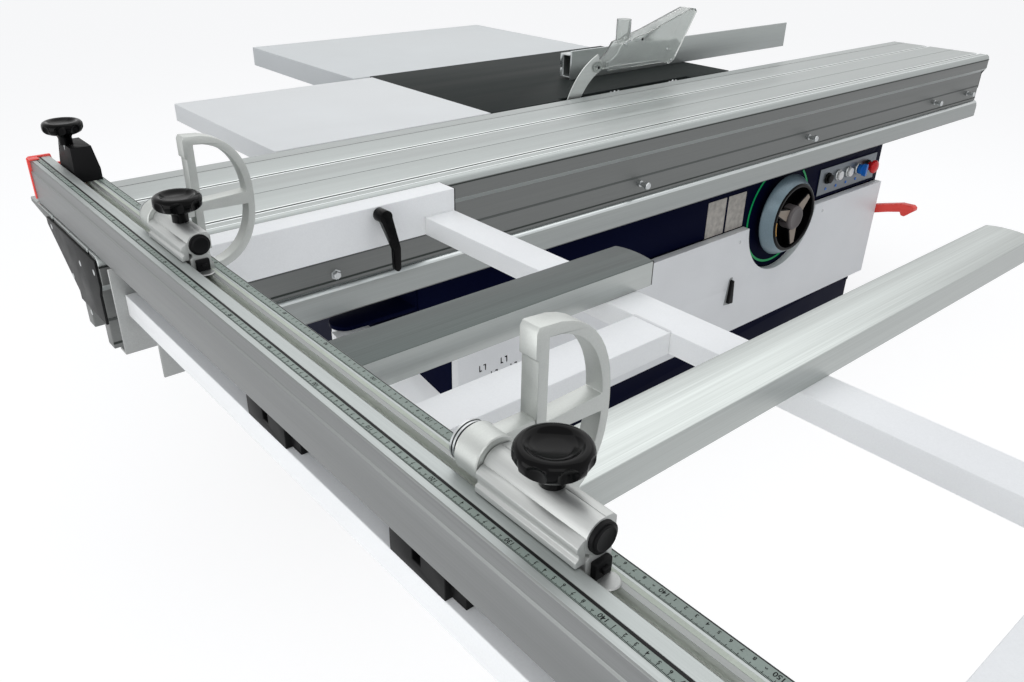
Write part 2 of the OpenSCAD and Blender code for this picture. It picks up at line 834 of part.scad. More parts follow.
module fence_outline() {
    x = fence_x0;
    z = fence_z;
    step = 38;
    difference() {
        polygon([
            [x, z], [x, z + 55], [x + 2, z + 57], [x + 2, z + fence_h - 3], [x + 5, z + fence_h],
            [x + step - 3, z + fence_h], [x + step, z + fence_h - 3], [x + step, z + deck_h],
            [x + fence_w - 6, z + deck_h], [x + fence_w, z + deck_h - 8], [x + fence_w, z]
        ]);
        // Groove in the top strip
        translate([x + 18, z + fence_h - 3]) square([3, 3 + over]);
        // T-slot of the stops
        translate([key_x - slot_w / 2, z + deck_h - 6]) square([slot_w, 6 + over]);
        translate([key_x - slot_w, z + deck_h - 16]) square([2 * slot_w, 10 + 0.1]);
        // Chambers
        translate([x + 4, z + 4]) square([step - 8, fence_h - 12]);
        translate([x + step, z + 4]) square([fence_w - step - 4, deck_h - 24]);
    }
}

module fence_profile() {
    color("darkgray") difference() {
        along_y(fence_y0, fence_y1) fence_outline();
        rod_z([pivot_x, t_slot_y, fence_z - over], stud_d + 2 * fit, fence_h + 2 * over);
    }
}

module pivot_block() {
    z = fence_z + deck_h;
    color("black") difference() {
        hull() {
            box([stop_x0, t_slot_y - 42, z], [fence_x1 - 10, t_slot_y + 42, z + 20]);
            box([stop_x0 + 3, t_slot_y - 34, pivot_top - 8], [fence_x1 - 16, t_slot_y + 34, pivot_top]);
        }
        rod_z([pivot_x, t_slot_y, z - over], stud_d + 2 * fit, pivot_top - z + 2 * over);
    }
}

// Star knob with a flared stem, a scalloped rim and a dished top
module hand_knob(p, stem_h, h) {
    r = knob_d / 2;
    z = stem_h + h;
    translate(p) difference() {
        rotate_extrude($fn = 96) polygon([
            [0, 0], [11, 0], [11, stem_h - 6], [14, stem_h - 1], [r - 8, stem_h + 1], [r - 2, stem_h + 5],
            [r, stem_h + 9], [r, z - 6], [r - 1.5, z - 2.5], [r - 5, z], [r * 0.68, z], [r * 0.45, z - 5],
            [0, z - 5.5]
        ]);
        for (i = [0 : 7])
            rotate([0, 0, i * 45]) translate([knob_d * 0.66, 0, stem_h - 2])
                cylinder(d = knob_d * 0.42, h = h + 3);
    }
}

module pivot_knob() {
    nut_z = table_h - slot_lip - slot_depth + 1;
    // Steel stud down through block and fence, with its nut in the carriage's T-slot
    color("silver") {
        rod_z([pivot_x, t_slot_y, nut_z], stud_d, pivot_top + 10 - nut_z);
        rod_z([pivot_x, t_slot_y, nut_z], slot_w * 1.8, slot_depth - 2);
    }
    color("black") hand_knob([pivot_x, t_slot_y, pivot_top + clear], 18, 22);
}

module stop_body(y) {
    x0 = stop_x0;
    x1 = x0 + stop_w;
    z0 = stop_z0;
    neck = slot_w / 2 - 0.1;
    head = slot_w - 0.4;
    flank = [[0, 0], [0, 9], [2.5, 11], [2.5, 20], [6, 22], [6, 26], [1.5, 29], [1, stop_axis_z - z0]];
    color("gainsboro") difference() {
        union() {
            // Extruded body under the barrel, with a foot flange and a groove along each flank
            along_y(y - stop_len / 2, y + stop_len / 2) polygon(concat(
                [for (p = flank) [x1 - p[0], z0 + p[1]]],
                [for (i = [len(flank) - 1 : -1 : 0]) [x0 + flank[i][0], z0 + flank[i][1]]]
            ));
            rod_y([stop_axis_x, y - stop_len / 2, stop_axis_z], stop_barrel_d, stop_len);
            // Key that runs in the fence's T-slot
            box([key_x - neck, y - 40, z0 - 7], [key_x + neck, y + 40, z0 + 1]);
            box([key_x - head, y - 40, z0 - 15], [key_x + head, y + 40, z0 - 6.5]);
        }
        // Bore of the arm's pin, and thread of the clamping knob
        rod_y([stop_axis_x, y + stop_len / 2 - 30, stop_axis_z], stop_pin_d + 2 * fit, 30 + over);
        rod_z([stop_axis_x, y - 6, stop_axis_z], 10, 30);
    }
    color("black") rod_y([stop_axis_x, y - stop_len / 2 - 4, stop_axis_z], stop_barrel_d - 4, 4);
}

module stop_arm(y) {
    axis_z = stop_axis_z;
    axis_x = stop_axis_x;
    y0 = y + stop_len / 2 + 0.5;
    post_x = fence_x1 + 10;
    tip_x = fence_x1 + 102;
    z0 = table_h + 3;
    z1 = table_h + stop_h;
    color("gainsboro") {
        // Pin and hub
        rod_y([axis_x, y0 - 30, axis_z], stop_pin_d, 31);
        rod_y([axis_x, y0, axis_z], 46, 30);
        rod_y([axis_x, y0 + 30, axis_z], 30, 6);
        difference() {
            union() {
                // Web from the hub to the plate
                box([axis_x, y0 + 3, axis_z - 14], [post_x + 4, y0 + 25, axis_z + 14]);
                // D-shaped plate
                along_y(y0 + 3, y0 + 26) {
                    intersection() {
                        translate([post_x, z0]) square([tip_x - post_x, z1 - z0]);
                        translate([post_x - 6, (z0 + z1) / 2]) resize([2 * (tip_x - post_x + 6), z1 - z0])
                            circle(100, $fn = 64);
                    }
                    translate([post_x, z0]) square([12, z1 - z0]);
                    translate([post_x - 3, z1 - 30]) square([8, 26]);
                }
            }
            // Two windows above and below the middle web
            for (s = [-1, 1]) {
                along_y(y0, y0 + 30) intersection() {
                    translate([post_x + 12, (z0 + z1) / 2 + (s < 0 ? -90 : 9)]) square([80, 81]);
                    translate([post_x - 6, (z0 + z1) / 2])
                        resize([2 * (tip_x - post_x - 6), z1 - z0 - 24]) circle(100, $fn = 64);
                }
            }
        }
    }
}

module stop_knob(y) {
    top = stop_axis_z + stop_barrel_d / 2 + clear;
    color("black") hand_knob([stop_axis_x, y - 6, top], 16, 22);
    color("silver") rod_z([stop_axis_x, y - 6, stop_axis_z + 4], 9.9, top - stop_axis_z);
}

module stop_body_1() {
    stop_body(stop_y[0]);
}
module stop_arm_1() {
    stop_arm(stop_y[0]);
}
module stop_knob_1() {
    stop_knob(stop_y[0]);
}
module stop_body_2() {
    stop_body(stop_y[1]);
}
module stop_arm_2() {
    stop_arm(stop_y[1]);
}
module stop_knob_2() {
    stop_knob(stop_y[1]);
}

module service_flap() {
    x0 = -cab_back + clear;
    x1 = cab_front;
    y1 = -panel_y - 0.5;
    y0 = y1 - flap_t;
    z0 = plinth_h + 1;
    t = 2;
    cut_r = 181;
    color("gainsboro") difference() {
        union() {
            difference() {
                box([x0, y0, z0], [x1, y1, flap_top]);
                box([x0 + t, y0 + t, z0 + t], [x1 - t, y1 + over, flap_top - t]);
                rod_y([wheel_x, y0 - over, wheel_z], 2 * cut_r, flap_t + 2 * over);
            }
            // Folded edge round the cut-out
            intersection() {
                difference() {
                    rod_y([wheel_x, y0, wheel_z], 2 * cut_r + 2 * t, flap_t);
                    rod_y([wheel_x, y0 - over, wheel_z], 2 * cut_r, flap_t + 2 * over);
                }
                box([x0, y0, z0], [x1, y1, flap_top]);
            }
            // Hinge knuckles
            for (x = [-cab_back + 36, cab_front - 44])
                rod_x([x, hinge_y, hinge_z], 16, 14);
        }
        for (x = [-cab_back + 36, cab_front - 44])
            rod_x([x - over, hinge_y, hinge_z], 8 + 2 * fit, 14 + 2 * over);
        // Clearance for the lugs that carry the pins
        for (x = [-cab_back + 30, cab_front - 50])
            box([x - clear, y0 + t, z0 - over], [x + 4 + clear, y1 + over, hinge_z + 6]);
        // Louvres and the latch's bore
        for (p = louvre_at) translate([p[0], 0, p[1]]) {
            // Two hooked slots, one of them turned over
            for (turn = [0, 180])
                rotate([0, turn, 0]) {
                    w = louvre_w / 2;
                    h = louvre_h / 2;
                    box([-w, y0 - over, -h], [louvre_slot - w, y0 + t + over, h]);
                    box([-w, y0 - over, -h], [-louvre_slot / 2, y0 + t + over, louvre_slot - h]);
                }
        }
        rod_y([latch_x, y0 - over, latch_z], 12 + 2 * fit, t + 2 * over);
    }
}

module flap_latch() {
    y0 = -panel_y - 0.5 - flap_t;
    color("black") {
        rod_y([latch_x, y0 - 6, latch_z], 24, 6 - clear);
        hull() {
            rod_y([latch_x - 2, y0 - 14, latch_z + 26], 10, 8);
            rod_y([latch_x + 4, y0 - 14, latch_z - 38], 10, 8);
        }
        // Shaft, and the tongue behind the flap
        rod_y([latch_x, y0 - 10, latch_z], 12, 24);
        box([latch_x - 10, y0 + 10, latch_z - 6], [latch_x + 10, y0 + 13, latch_z + 40]);
    }
}

module handwheel() {
    y0 = -panel_y;
    rim_r = wheel_d / 2;
    depth = 44;
    color("dimgray") {
        // Bowl-shaped wheel with a rounded rim, open at the front
        translate([wheel_x, y0 - 20, wheel_z]) rotate([90, 0, 0]) rotate_extrude($fn = 96) polygon(concat(
            [[0, 0], [rim_r - 6, 0], [rim_r, 4]],
            [for (a = [0 : 15 : 90]) [rim_r - 30 + 30 * cos(a), 18 + (depth - 18) * sin(a)]],
            [[rim_r - 36, depth - 2], [rim_r - 40, 12], [0, 12]]
        ));
        // Three spokes and the hub
        for (a = [90, 210, 330])
            translate([wheel_x, y0 - 60, wheel_z]) rotate([0, a, 0]) box([10, 0, -16], [rim_r - 32, 30, 16]);
        rod_y([wheel_x, y0 - 70, wheel_z], 76, 40);
        rod_y([wheel_x, y0 - 21, wheel_z], 40, 21 - clear);
    }
    // Shaft through the panel to the tilting gear
    color("silver") {
        rod_y([wheel_x, y0 - 21, wheel_z], wheel_shaft_d, beam_w + 46);
        rod_y([wheel_x, beam_y1 + 6, wheel_z], 50, 18);
    }
}

module rise_wheel() {
    x0 = cab_front + 34;
    r = rise_wheel_d / 2;
    color("black") {
        // Rounded rim
        translate([x0 + 11, rise_y, rise_z]) rotate([0, 90, 0]) rotate_extrude($fn = 64)
            translate([r - 11, 0]) circle(d = 22, $fn = 20);
        for (a = [0, 120, 240])
            translate([x0 + 6, rise_y, rise_z]) rotate([a, 0, 0]) box([0, -8, 8], [10, 8, r - 14]);
        rod_x([cab_front + clear, rise_y, rise_z], 36, 52);
        // Crank handle
        rod_x([x0 + 20, rise_y, rise_z + r - 12], 18, 50);
    }
    color("silver") rod_x([cab_front - 80, rise_y, rise_z], 16, 90);
}

module red_lever() {
    color("indianred") along_x(lever_x, lever_x + 28) polygon([
        for (p = [
            [18, -14], [18, 13], [-56, 15], [-116, 33], [-156, 45], [-198, 47], [-207, 40], [-207, 30],
            [-186, 12], [-178, 4], [-166, 5], [-160, 16], [-116, 4], [-63, -14]
        ]) [lever_y + p[0], lever_z + p[1]]
    ]);
    color("silver") rod_x([cab_front - 40, lever_y, lever_z], 14, lever_x - cab_front + 41);
}

// Push button: cap in front of the panel and a stem through its bore
module push_button(x, cap_d, cap_t) {
    y0 = -panel_y - ctl_t;
    rod_y([x, y0 - 7 - cap_t, ctl_z], cap_d, cap_t);
    rod_y([x, y0 - 8, ctl_z], button_d - 2 * fit, 40);
}

module estop() {
    color("red") push_button(ctl_x[4], 46, 22);
}
module selector() {
    color("royalblue") {
        push_button(ctl_x[3], 34, 14);
        box([ctl_x[3] - 6, -panel_y - 36, ctl_z - 20], [ctl_x[3] + 6, -panel_y - 22, ctl_z + 20]);
    }
}
module button_1() {
    color("white") push_button(ctl_x[2], 30, 6);
}
module button_2() {
    color("white") push_button(ctl_x[1], 30, 6);
}
module button_3() {
    color("black") push_button(ctl_x[0], 30, 6);
}

module tilt_frame() {
    beam_z0 = table_h - 300;
    beam_z1 = table_h - 260;
    tie_z = table_h - 40;
    color("slategray") {
        // Trunnion plates that turn about the table's surface line
        for (x = trunnion_x)
            along_x(x, x + trunnion_t) translate([0, table_h])
                ring_sector(trunnion_r - 112, trunnion_r, 277, 318);
        // Beam between the trunnions
        x0 = trunnion_x[0] + trunnion_t;
        x1 = trunnion_x[1];
        difference() {
            box([x0, col_y - block_half, beam_z0], [x1, col_y + block_half, beam_z1]);
            box([x0 + 8, col_y - block_half + 8, beam_z0 - over],
                [x1 - 8, col_y + block_half - 8, beam_z1 - 10]);
        }
        // Tie plate on top of the columns
        box([60, col_y - 25, tie_z], [345, col_y + 25, tie_z + 12]);
    }
    color("silver") {
        for (x = col_x)
            rod_z([x, col_y, beam_z1], column_d, tie_z - beam_z1);
        rod_z([score_col_x, col_y, beam_z1], score_col_d, tie_z - beam_z1);
    }
}

module arbor_housing() {
    z = arbor_z;
    color("gray") difference() {
        union() {
            rod_y([0, 12, z], housing_d, 138);
            // Block that slides on the columns
            box([col_x[0] - 30, col_y - block_half, z - 92], [col_x[1] + 30, col_y + block_half, z - 2]);
            box([0, col_y - block_half, z - 60], [col_x[0] - 29, col_y + block_half, z - 10]);
            // Bracket of the riving knife
            box([-208, 12, z - 20], [0, 22, z + 16]);
            box([-208, knife_t / 2, z - 20], [-170, 13, z + 16]);
            // Arm to the motor's flange
            hull() {
                box([-20, 130, z - 30], [20, 146, z]);
                box([motor_x - 30, 130, motor_z - 20], [motor_x + 30, 146, motor_z + 20]);
            }
            rod_y([motor_x, 130, motor_z], 110, 14);
        }
        rod_y([0, 4, z], arbor_d + 2 * fit, 160);
        rod_y([motor_x, 129, motor_z], 40, 30);
        for (x = col_x)
            rod_z([x, col_y, z - 100], column_d + 2 * fit, 110);
    }
}

module arbor() {
    z = arbor_z;
    w = 30;
    color("silver") {
        rod_y([0, 8, z], arbor_d, belt_y + w - 8);
        // Flange behind the blade, and the clamping nut in front
        rod_y([0, blade_t / 2, z], 60, 8);
        rod_y([0, -22, z], 25, 34);
        difference() {
            rod_y([0, -blade_t / 2 - 6, z], 60, 6);
            rod_y([0, -9, z], 24, 10);
        }
        rod_y([0, -22, z], 36, 14);
    }
    color("dimgray") difference() {
        rod_y([0, belt_y, z], pulley_d, w);
        rod_y([0, belt_y - over, z], arbor_d, w + 2 * over);
    }
}

// Circular blade with raked teeth, centred on a point
module toothed_blade(p, r, t, teeth, bore, depth) {
    translate(p) rotate([90, 0, 0]) linear_extrude(t, center = true) difference() {
        circle(r - depth * 0.5, $fn = 90);
        circle(d = bore);
    }
    translate(p) rotate([90, 0, 0]) linear_extrude(t * 0.9, center = true) for (i = [0 : teeth - 1])
        rotate(i * 360 / teeth) polygon([[r - depth, -2], [r, 1], [r - 1, 4], [r - depth, 7]]);
}

module saw_blade() {
    color("silver") toothed_blade([0, 0, arbor_z], blade_r, blade_t, blade_teeth, 25, 10);
}

module motor() {
    x = motor_x;
    z = motor_z;
    y0 = belt_y + 40;
    color("steelblue") {
        // Mounting arms past the pulley
        for (a = [56.6, 146.6, 236.6])
            translate([x, 146, z]) rotate([0, a, 0])
                box([motor_d / 2 - 16, -16, -8], [motor_d / 2 - 2, 56, 8]);
        difference() {
            rod_y([x, y0, z], motor_d, motor_len);
            rod_y([x, y0 - over, z], 30, 60);
            for (i = [0 : 23])
                rotate_about(x, z, i * 15)
                    box([x + motor_d / 2 - 6, y0 + 20, z - 2.5], [x + motor_d, y0 + motor_len - 50, z + 2.5]);
        }
    }
}

// Turns its children about a Y-parallel line through x, z
module rotate_about(x, z, a) {
    translate([x, 0, z]) rotate([0, a, 0]) translate([-x, 0, -z]) children();
}

module motor_pulley() {
    w = 30;
    color("dimgray") {
        rod_y([motor_x, belt_y, motor_z], motor_pulley_d, w);
        rod_y([motor_x, belt_y - 4, motor_z], 28, 90);
    }
}

module drive_belt() {
    r0 = pulley_d / 2 + clear;
    r1 = motor_pulley_d / 2 + clear;
    t = 5;
    color("black") translate([0, belt_y + 3, 0]) rotate([-90, 0, 0]) linear_extrude(24) difference() {
        hull() {
            translate([0, -arbor_z]) circle(r0 + t, $fn = 64);
            translate([motor_x, -motor_z]) circle(r1 + t, $fn = 64);
        }
        hull() {
            translate([0, -arbor_z]) circle(r0, $fn = 64);
            translate([motor_x, -motor_z]) circle(r1, $fn = 64);
        }
    }
}

module scoring_unit() {
    z = score_z;
    color("gray") difference() {
        union() {
            rod_y([score_x, 8, z], 44, 52);
            box([score_x - 12, col_y - 20, z - 50], [score_col_x + 22, col_y + 20, z - 4]);
            box([score_x - 12, 40, z - 40], [score_x + 30, col_y - 19, z - 8]);
        }
        rod_y([score_x, 7, z], 16 + 2 * fit, 120);
        rod_z([score_col_x, col_y, z - 51], score_col_d + 2 * fit, 60);
    }
}

module scoring_blade() {
    z = score_z;
    color("silver") {
        toothed_blade([score_x, 0, z], score_r, blade_t, 24, 16, 7);
        rod_y([score_x, -8, z], 16, 112);
        rod_y([score_x, blade_t / 2, z], 36, 6);
        rod_y([score_x, -8, z], 30, 8 - blade_t / 2);
    }
}

module riving_knife() {
    z = arbor_z + knife_up;
    color("silver") translate([0, knife_t / 2, z]) rotate([90, 0, 0]) linear_extrude(knife_t) difference() {
        ring_sector(knife_r, knife_r + knife_w, 113, 205);
        translate([guard_x, guard_z - z]) circle(d = guard_bolt_d);
    }
}

module guard_hood() {
    px = guard_x;
    pz = guard_z;
    w = hood_w / 2;
    t = hood_t;
    color("lightgray") {
        difference() {
            // Wedge-shaped hood that rises to its nose
            along_y(-w, w) polygon([
                [-60, pz - 19], [-60, pz + 14], [-30, pz + 33], [-8, pz + 60], [109, pz + 86],
                [285, pz + 136],
                [306, pz + 134], [315, pz + 125], [221, pz - 19]
            ]);
            along_y(-w + t, w - t) polygon([
                [-61, pz - 19 - over], [-61, pz - 4], [-55, pz - 4], [-55, pz + 10], [-26, pz + 30],
                [-5, pz + 56], [109, pz + 82], [285, pz + 131],
                [303, pz + 129], [310, pz + 123], [216, pz - 19 - over]
            ]);
            // Slanted lower edges that clear the table when the saw unit tilts
            for (s = [-1, 1])
                along_x(-70, 330) translate([s * w, pz - 19]) rotate(45) square(16, center = true);
        }
        // Lugs on both sides of the knife, and the pivot bolt
        for (y = [-6, knife_t / 2 + clear])
            difference() {
                union() {
                    rod_y([px, y, pz], 30, 6 - knife_t / 2 - clear);
                    box([px, y, pz - 8], [-50, y + 6 - knife_t / 2 - clear, pz + 12]);
                }
                rod_y([px, y - over, pz], guard_bolt_d - 2 * fit, 8);
            }
        rod_y([px, -10, pz], guard_bolt_d - 2 * fit, 20);
    }
    // Extraction port on the hood
    color("gray") difference() {
        translate([16, 0, pz + 62]) cylinder(d = hood_w - 2, h = 60);
        translate([16, 0, pz + 61]) cylinder(d = hood_w - 8, h = 62);
    }
}

module rip_rail() {
    // Round guide bar under the infeed edge, on posts below the tables
    y1 = iron_y1 + rip_w;
    color("silver") rod_y([bar_x, 60, bar_z], bar_d, y1 - 60);
    color("slategray") for (y = [70, 500])
        difference() {
            box([bar_x - 14, y, bar_z], [bar_x + 6, y + 30, table_h - rim_h]);
            rod_y([bar_x, y - over, bar_z], bar_d, 30 + 2 * over);
        }
}

module rip_carrier() {
    y0 = ripf_y1 + clear;
    y1 = y0 + 100;
    x1 = iron_front + clear;
    z0 = table_h + clear;
    color("dimgray") {
        // Head on the table
        difference() {
            hull() {
                box([x1 - 110, y0, z0], [x1 + 14, y1, z0 + 40]);
                box([x1 - 100, y0, z0], [x1 + 8, y1 - 16, z0 + 62]);
            }
            rod_y([x1 - 40, y1 - 40, z0 + 40], 12 + 2 * fit, 50);
        }
        // Lip over the table's edge and jaw under the guide bar
        box([x1, y0, bar_z - bar_d / 2 - 14], [x1 + 14, y1, z0 + 1]);
        difference() {
            box([bar_x - 12, y0, bar_z - bar_d / 2 - 14], [x1 + 1, y1, bar_z - 2]);
            rod_y([bar_x, y0 - over, bar_z], bar_d + 2 * clear, 102);
        }
        // Key in the fence's slot
        box([x1 - 100, ripf_y1 - 8, z0 + 30], [x1, y0 + 1, z0 + 38]);
    }
}

module rip_fence() {
    z0 = table_h + clear;
    z1 = z0 + ripf_h;
    color("silver") along_x(ripf_x0, ripf_x0 + ripf_len) difference() {
        union() {
            translate([rip_at, z0]) square([7, ripf_h]);
            translate([rip_at, z0 + 5]) square([ripf_w, 69]);
        }
        translate([rip_at + 7, z0 + 9]) square([ripf_w - 22, 61]);
        // Slot for the carrier's key
        translate([ripf_y1 - 9, z0 + 29.7]) square([9 + over, 8.6]);
    }
}

module rip_lever() {
    y1 = ripf_y1 + clear + 100;
    x = iron_front + clear - 40;
    z = table_h + clear + 40;
    color("black") {
        rod_y([x, y1 - 39, z], 12, 45);
        rod_y([x, y1 + clear, z], 30, 14);
        hull() {
            rod_y([x, y1 + clear, z], 20, 12);
            rod_y([x + 90, y1 + clear, z + 50], 14, 12);
        }
    }
}

plinth();
cabinet_shell();
dust_spigot();
support_beam();
control_panel();
tilt_cradles();
iron_table();
outfeed_table();
ripside_table();
table_braces();
base_rail();
rip_rail();
arm_bracket();
service_flap();
flap_latch();
handwheel();
rise_wheel();
red_lever();
estop();
selector();
button_1();
button_2();
button_3();
middle_carriage();
carriage_profile();
carriage_ends();
tube_a();
side_tubes();
cross_tubes();
slat_1();
slat_2();
end_caps();
outrigger_fittings();
clamp_lever();
fence_profile();
pivot_block();
pivot_knob();
stop_body_1();
stop_arm_1();
stop_knob_1();
stop_body_2();
stop_arm_2();
stop_knob_2();
swing_arm();
inner_arm();
arm_roller();
tilt_frame();
arbor_housing();
arbor();
saw_blade();
motor();
motor_pulley();
drive_belt();
scoring_unit();
scoring_blade();
riving_knife();
guard_hood();
rip_carrier();
rip_fence();
rip_lever();
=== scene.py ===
import json
import math

import bpy
from mathutils import Matrix, Vector

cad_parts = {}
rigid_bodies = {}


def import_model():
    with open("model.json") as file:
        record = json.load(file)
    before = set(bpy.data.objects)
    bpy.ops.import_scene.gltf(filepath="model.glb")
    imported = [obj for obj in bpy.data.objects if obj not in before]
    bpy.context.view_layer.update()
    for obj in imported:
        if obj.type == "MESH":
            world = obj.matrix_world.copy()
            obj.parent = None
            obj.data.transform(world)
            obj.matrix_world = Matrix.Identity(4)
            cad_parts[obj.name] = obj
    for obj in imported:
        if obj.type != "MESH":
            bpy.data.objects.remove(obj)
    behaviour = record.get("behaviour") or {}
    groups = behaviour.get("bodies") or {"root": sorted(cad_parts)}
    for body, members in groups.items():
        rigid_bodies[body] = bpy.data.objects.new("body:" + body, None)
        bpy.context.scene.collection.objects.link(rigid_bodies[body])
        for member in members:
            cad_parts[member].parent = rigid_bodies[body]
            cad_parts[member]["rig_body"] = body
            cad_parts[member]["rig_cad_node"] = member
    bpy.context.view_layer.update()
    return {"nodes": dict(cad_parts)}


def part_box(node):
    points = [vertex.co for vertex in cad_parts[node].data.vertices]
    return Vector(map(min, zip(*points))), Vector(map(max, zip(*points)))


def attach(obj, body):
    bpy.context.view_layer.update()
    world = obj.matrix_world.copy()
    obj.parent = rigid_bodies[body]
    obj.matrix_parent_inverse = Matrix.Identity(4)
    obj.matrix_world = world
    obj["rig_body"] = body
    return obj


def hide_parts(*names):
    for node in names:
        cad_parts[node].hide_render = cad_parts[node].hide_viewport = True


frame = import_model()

# Camera. It stands beyond the outfeed end of the outrigger and looks down along the machine,
# with the photograph's lens on a 36 mm wide sensor.
bpy.ops.object.select_all(action="DESELECT")
bpy.ops.object.camera_add(location=(-1.905, -1.753, 1.394))
camera = bpy.context.active_object
to_right = Vector((0.761246, -0.648226, 0.017538))
to_top = Vector((0.293141, 0.368123, 0.882357))
to_back = Vector((-0.578423, -0.66655, 0.470254))
camera.rotation_euler = Matrix((to_right, to_top, to_back)).transposed().to_euler()
camera.data.lens = 30.02
camera.data.sensor_width = 36
camera.data.clip_start = 0.05
camera.data.clip_end = 60
bpy.context.scene.camera = camera
bpy.context.scene.view_settings.view_transform = "Standard"


# Studio. A white room with a pale floor, a millimetre under the plinth. One wide soft box hangs
# over the machine, a smaller one stands at the operator's side, and a low one fills the shade
# under the fence.
def linear(code):
    """An sRGB hex code as the linear colour that a socket takes."""
    parts = [int(code[i:i + 2], 16) / 255 for i in (1, 3, 5)]
    return [p / 12.92 if p <= 0.04045 else ((p + 0.055) / 1.055) ** 2.4 for p in parts] + [1]


def add(tree, kind, links=(), **settings):
    """Adds a node to tree. Links are (input, value or output socket) pairs."""
    made = tree.nodes.new("ShaderNode" + kind)
    for key, value in settings.items():
        setattr(made, key, value)
    for key, value in links:
        if isinstance(value, bpy.types.NodeSocket):
            tree.links.new(value, made.inputs[key])
        else:
            made.inputs[key].default_value = value
    return made


def seen_ray(tree):
    """1 for camera, glossy and transmission rays, 0 for the light that falls on things."""
    path = add(tree, "LightPath").outputs
    either = add(tree, "Math", [(0, path["Is Camera Ray"]), (1, path["Is Glossy Ray"])],
                 operation="MAXIMUM")
    return add(tree, "Math", [(0, either.outputs[0]), (1, path["Is Transmission Ray"])],
               operation="MAXIMUM").outputs[0]


world = bpy.data.worlds.new("white room")
world.use_nodes = True
bpy.context.scene.world = world
room = world.node_tree
room.nodes.clear()
dim = add(room, "Background", [("Color", linear("#f2f6ff")), ("Strength", 0.5)])
bright = add(room, "Background", [("Color", linear("#ffffff")), ("Strength", 1.0)])
mixed = add(room, "MixShader", [(0, seen_ray(room)), (1, dim.outputs[0]), (2, bright.outputs[0])])
add(room, "OutputWorld", [("Surface", mixed.outputs[0])])

# The floor gives off most of its white itself, and a little diffuse grey keeps the shadow.
bpy.ops.mesh.primitive_plane_add(size=36, location=(0, 0, -0.001))
floor = bpy.context.active_object
floor.name = "floor"
pale_floor = bpy.data.materials.new("pale studio floor")
pale_floor.use_nodes = True
tree = pale_floor.node_tree
tree.nodes.clear()
lit = add(tree, "BsdfDiffuse", [("Color", (0.8, 0.8, 0.8, 1))])
soft = add(tree, "BsdfDiffuse", [("Color", (0.3, 0.3, 0.3, 1))])
glow = add(tree, "Emission", [("Color", linear("#ffffff")), ("Strength", 0.79)])
shown = add(tree, "AddShader", [(0, soft.outputs[0]), (1, glow.outputs[0])])
choice = add(tree, "MixShader", [(0, seen_ray(tree)), (1, lit.outputs[0]), (2, shown.outputs[0])])
add(tree, "OutputMaterial", [("Surface", choice.outputs[0])])
floor.data.materials.append(pale_floor)

for spot, aim, size, power in [
    ((0.3, 0.2, 3.3), (0.1, 0.0, 0.5), (5.0, 4.0), 56),
    ((-2.6, -3.2, 2.6), (-0.2, -0.3, 0.6), (2.0, 1.6), 16),
    ((-3.4, -1.0, 0.9), (-1.2, -0.8, 0.75), (2.4, 1.2), 18),
]:
    bpy.ops.object.light_add(type="AREA", location=spot)
    lamp = bpy.context.active_object
    lamp.data.shape = "RECTANGLE"
    lamp.data.size, lamp.data.size_y = size
    lamp.data.energy = power
    lamp.rotation_euler = (Vector(spot) - Vector(aim)).to_track_quat("Z", "Y").to_euler()


# Plinth. A folded and welded steel tray under the cabinet, powder coated deep navy and
# bolted to the floor through its four corners.
def surface(name, code, rough, metal, spread, stretch=(1, 1, 1), fine=500, cloud=8,
            grain=0.1, depth=0.4):
    """The tree that all finishes share. A fine pattern roughens the skin, depth mm deep and
    grain strong. A wide cloud shifts the colour by spread and the gloss with it. fine and
    cloud are per metre, so 400 is one each 2.5 mm, and stretch draws both out along an axis."""
    made = bpy.data.materials.new(name)
    made.use_nodes = True
    tree = made.node_tree
    shader = tree.nodes["Principled BSDF"]
    noise_range = [("From Min", 0.3), ("From Max", 0.7)]
    place = add(tree, "TexCoord").outputs["Object"]
    drawn = add(tree, "Mapping", [("Vector", place), ("Scale", stretch)]).outputs[0]
    skin = add(tree, "TexNoise", [("Vector", drawn), ("Scale", fine), ("Detail", 3)]).outputs["Fac"]
    wide = add(tree, "TexNoise", [("Vector", drawn), ("Scale", cloud), ("Detail", 5)]).outputs["Fac"]
    tone = add(tree, "Mix", [("Factor", 0.4), ("A", wide), ("B", skin)]).outputs["Result"]
    sharp = add(tree, "MapRange", [("Value", tone)] + noise_range).outputs["Result"]
    colour = linear(code)[:3]
    dark = [c * (1 - spread) for c in colour] + [1]
    pale = [min(1, c * (1 + spread) + 0.002) for c in colour] + [1]
    tint = add(tree, "Mix", [("Factor", sharp), ("A", dark), ("B", pale)], data_type="RGBA")
    gloss = add(tree, "MapRange", [("Value", wide), ("To Min", rough - 0.05),
                                   ("To Max", rough + 0.07)] + noise_range)
    bump = add(tree, "Bump", [("Height", skin), ("Strength", grain), ("Distance", depth / 1000)])
    tree.links.new(tint.outputs["Result"], shader.inputs["Base Color"])
    tree.links.new(gloss.outputs["Result"], shader.inputs["Roughness"])
    tree.links.new(bump.outputs["Normal"], shader.inputs["Normal"])
    shader.inputs["Metallic"].default_value = metal
    return made


def tune(material, *pairs):
    """Sets more (socket, value) pairs of a finish's shader and returns the finish."""
    shader = material.node_tree.nodes["Principled BSDF"]
    for socket, value in pairs:
        shader.inputs[socket].default_value = value
    return material


def coat(name, code, rough, mirror=0.4):
    """Powder coat on sheet steel. It flows into a skin with a fine orange peel, drawn at 2.5 mm,
    and its gloss varies a little from place to place. mirror is its specular level."""
    made = surface(name, code, rough, 0, 0.05, fine=400, cloud=5, depth=0.6)
    return tune(made, ("Specular IOR Level", mirror))


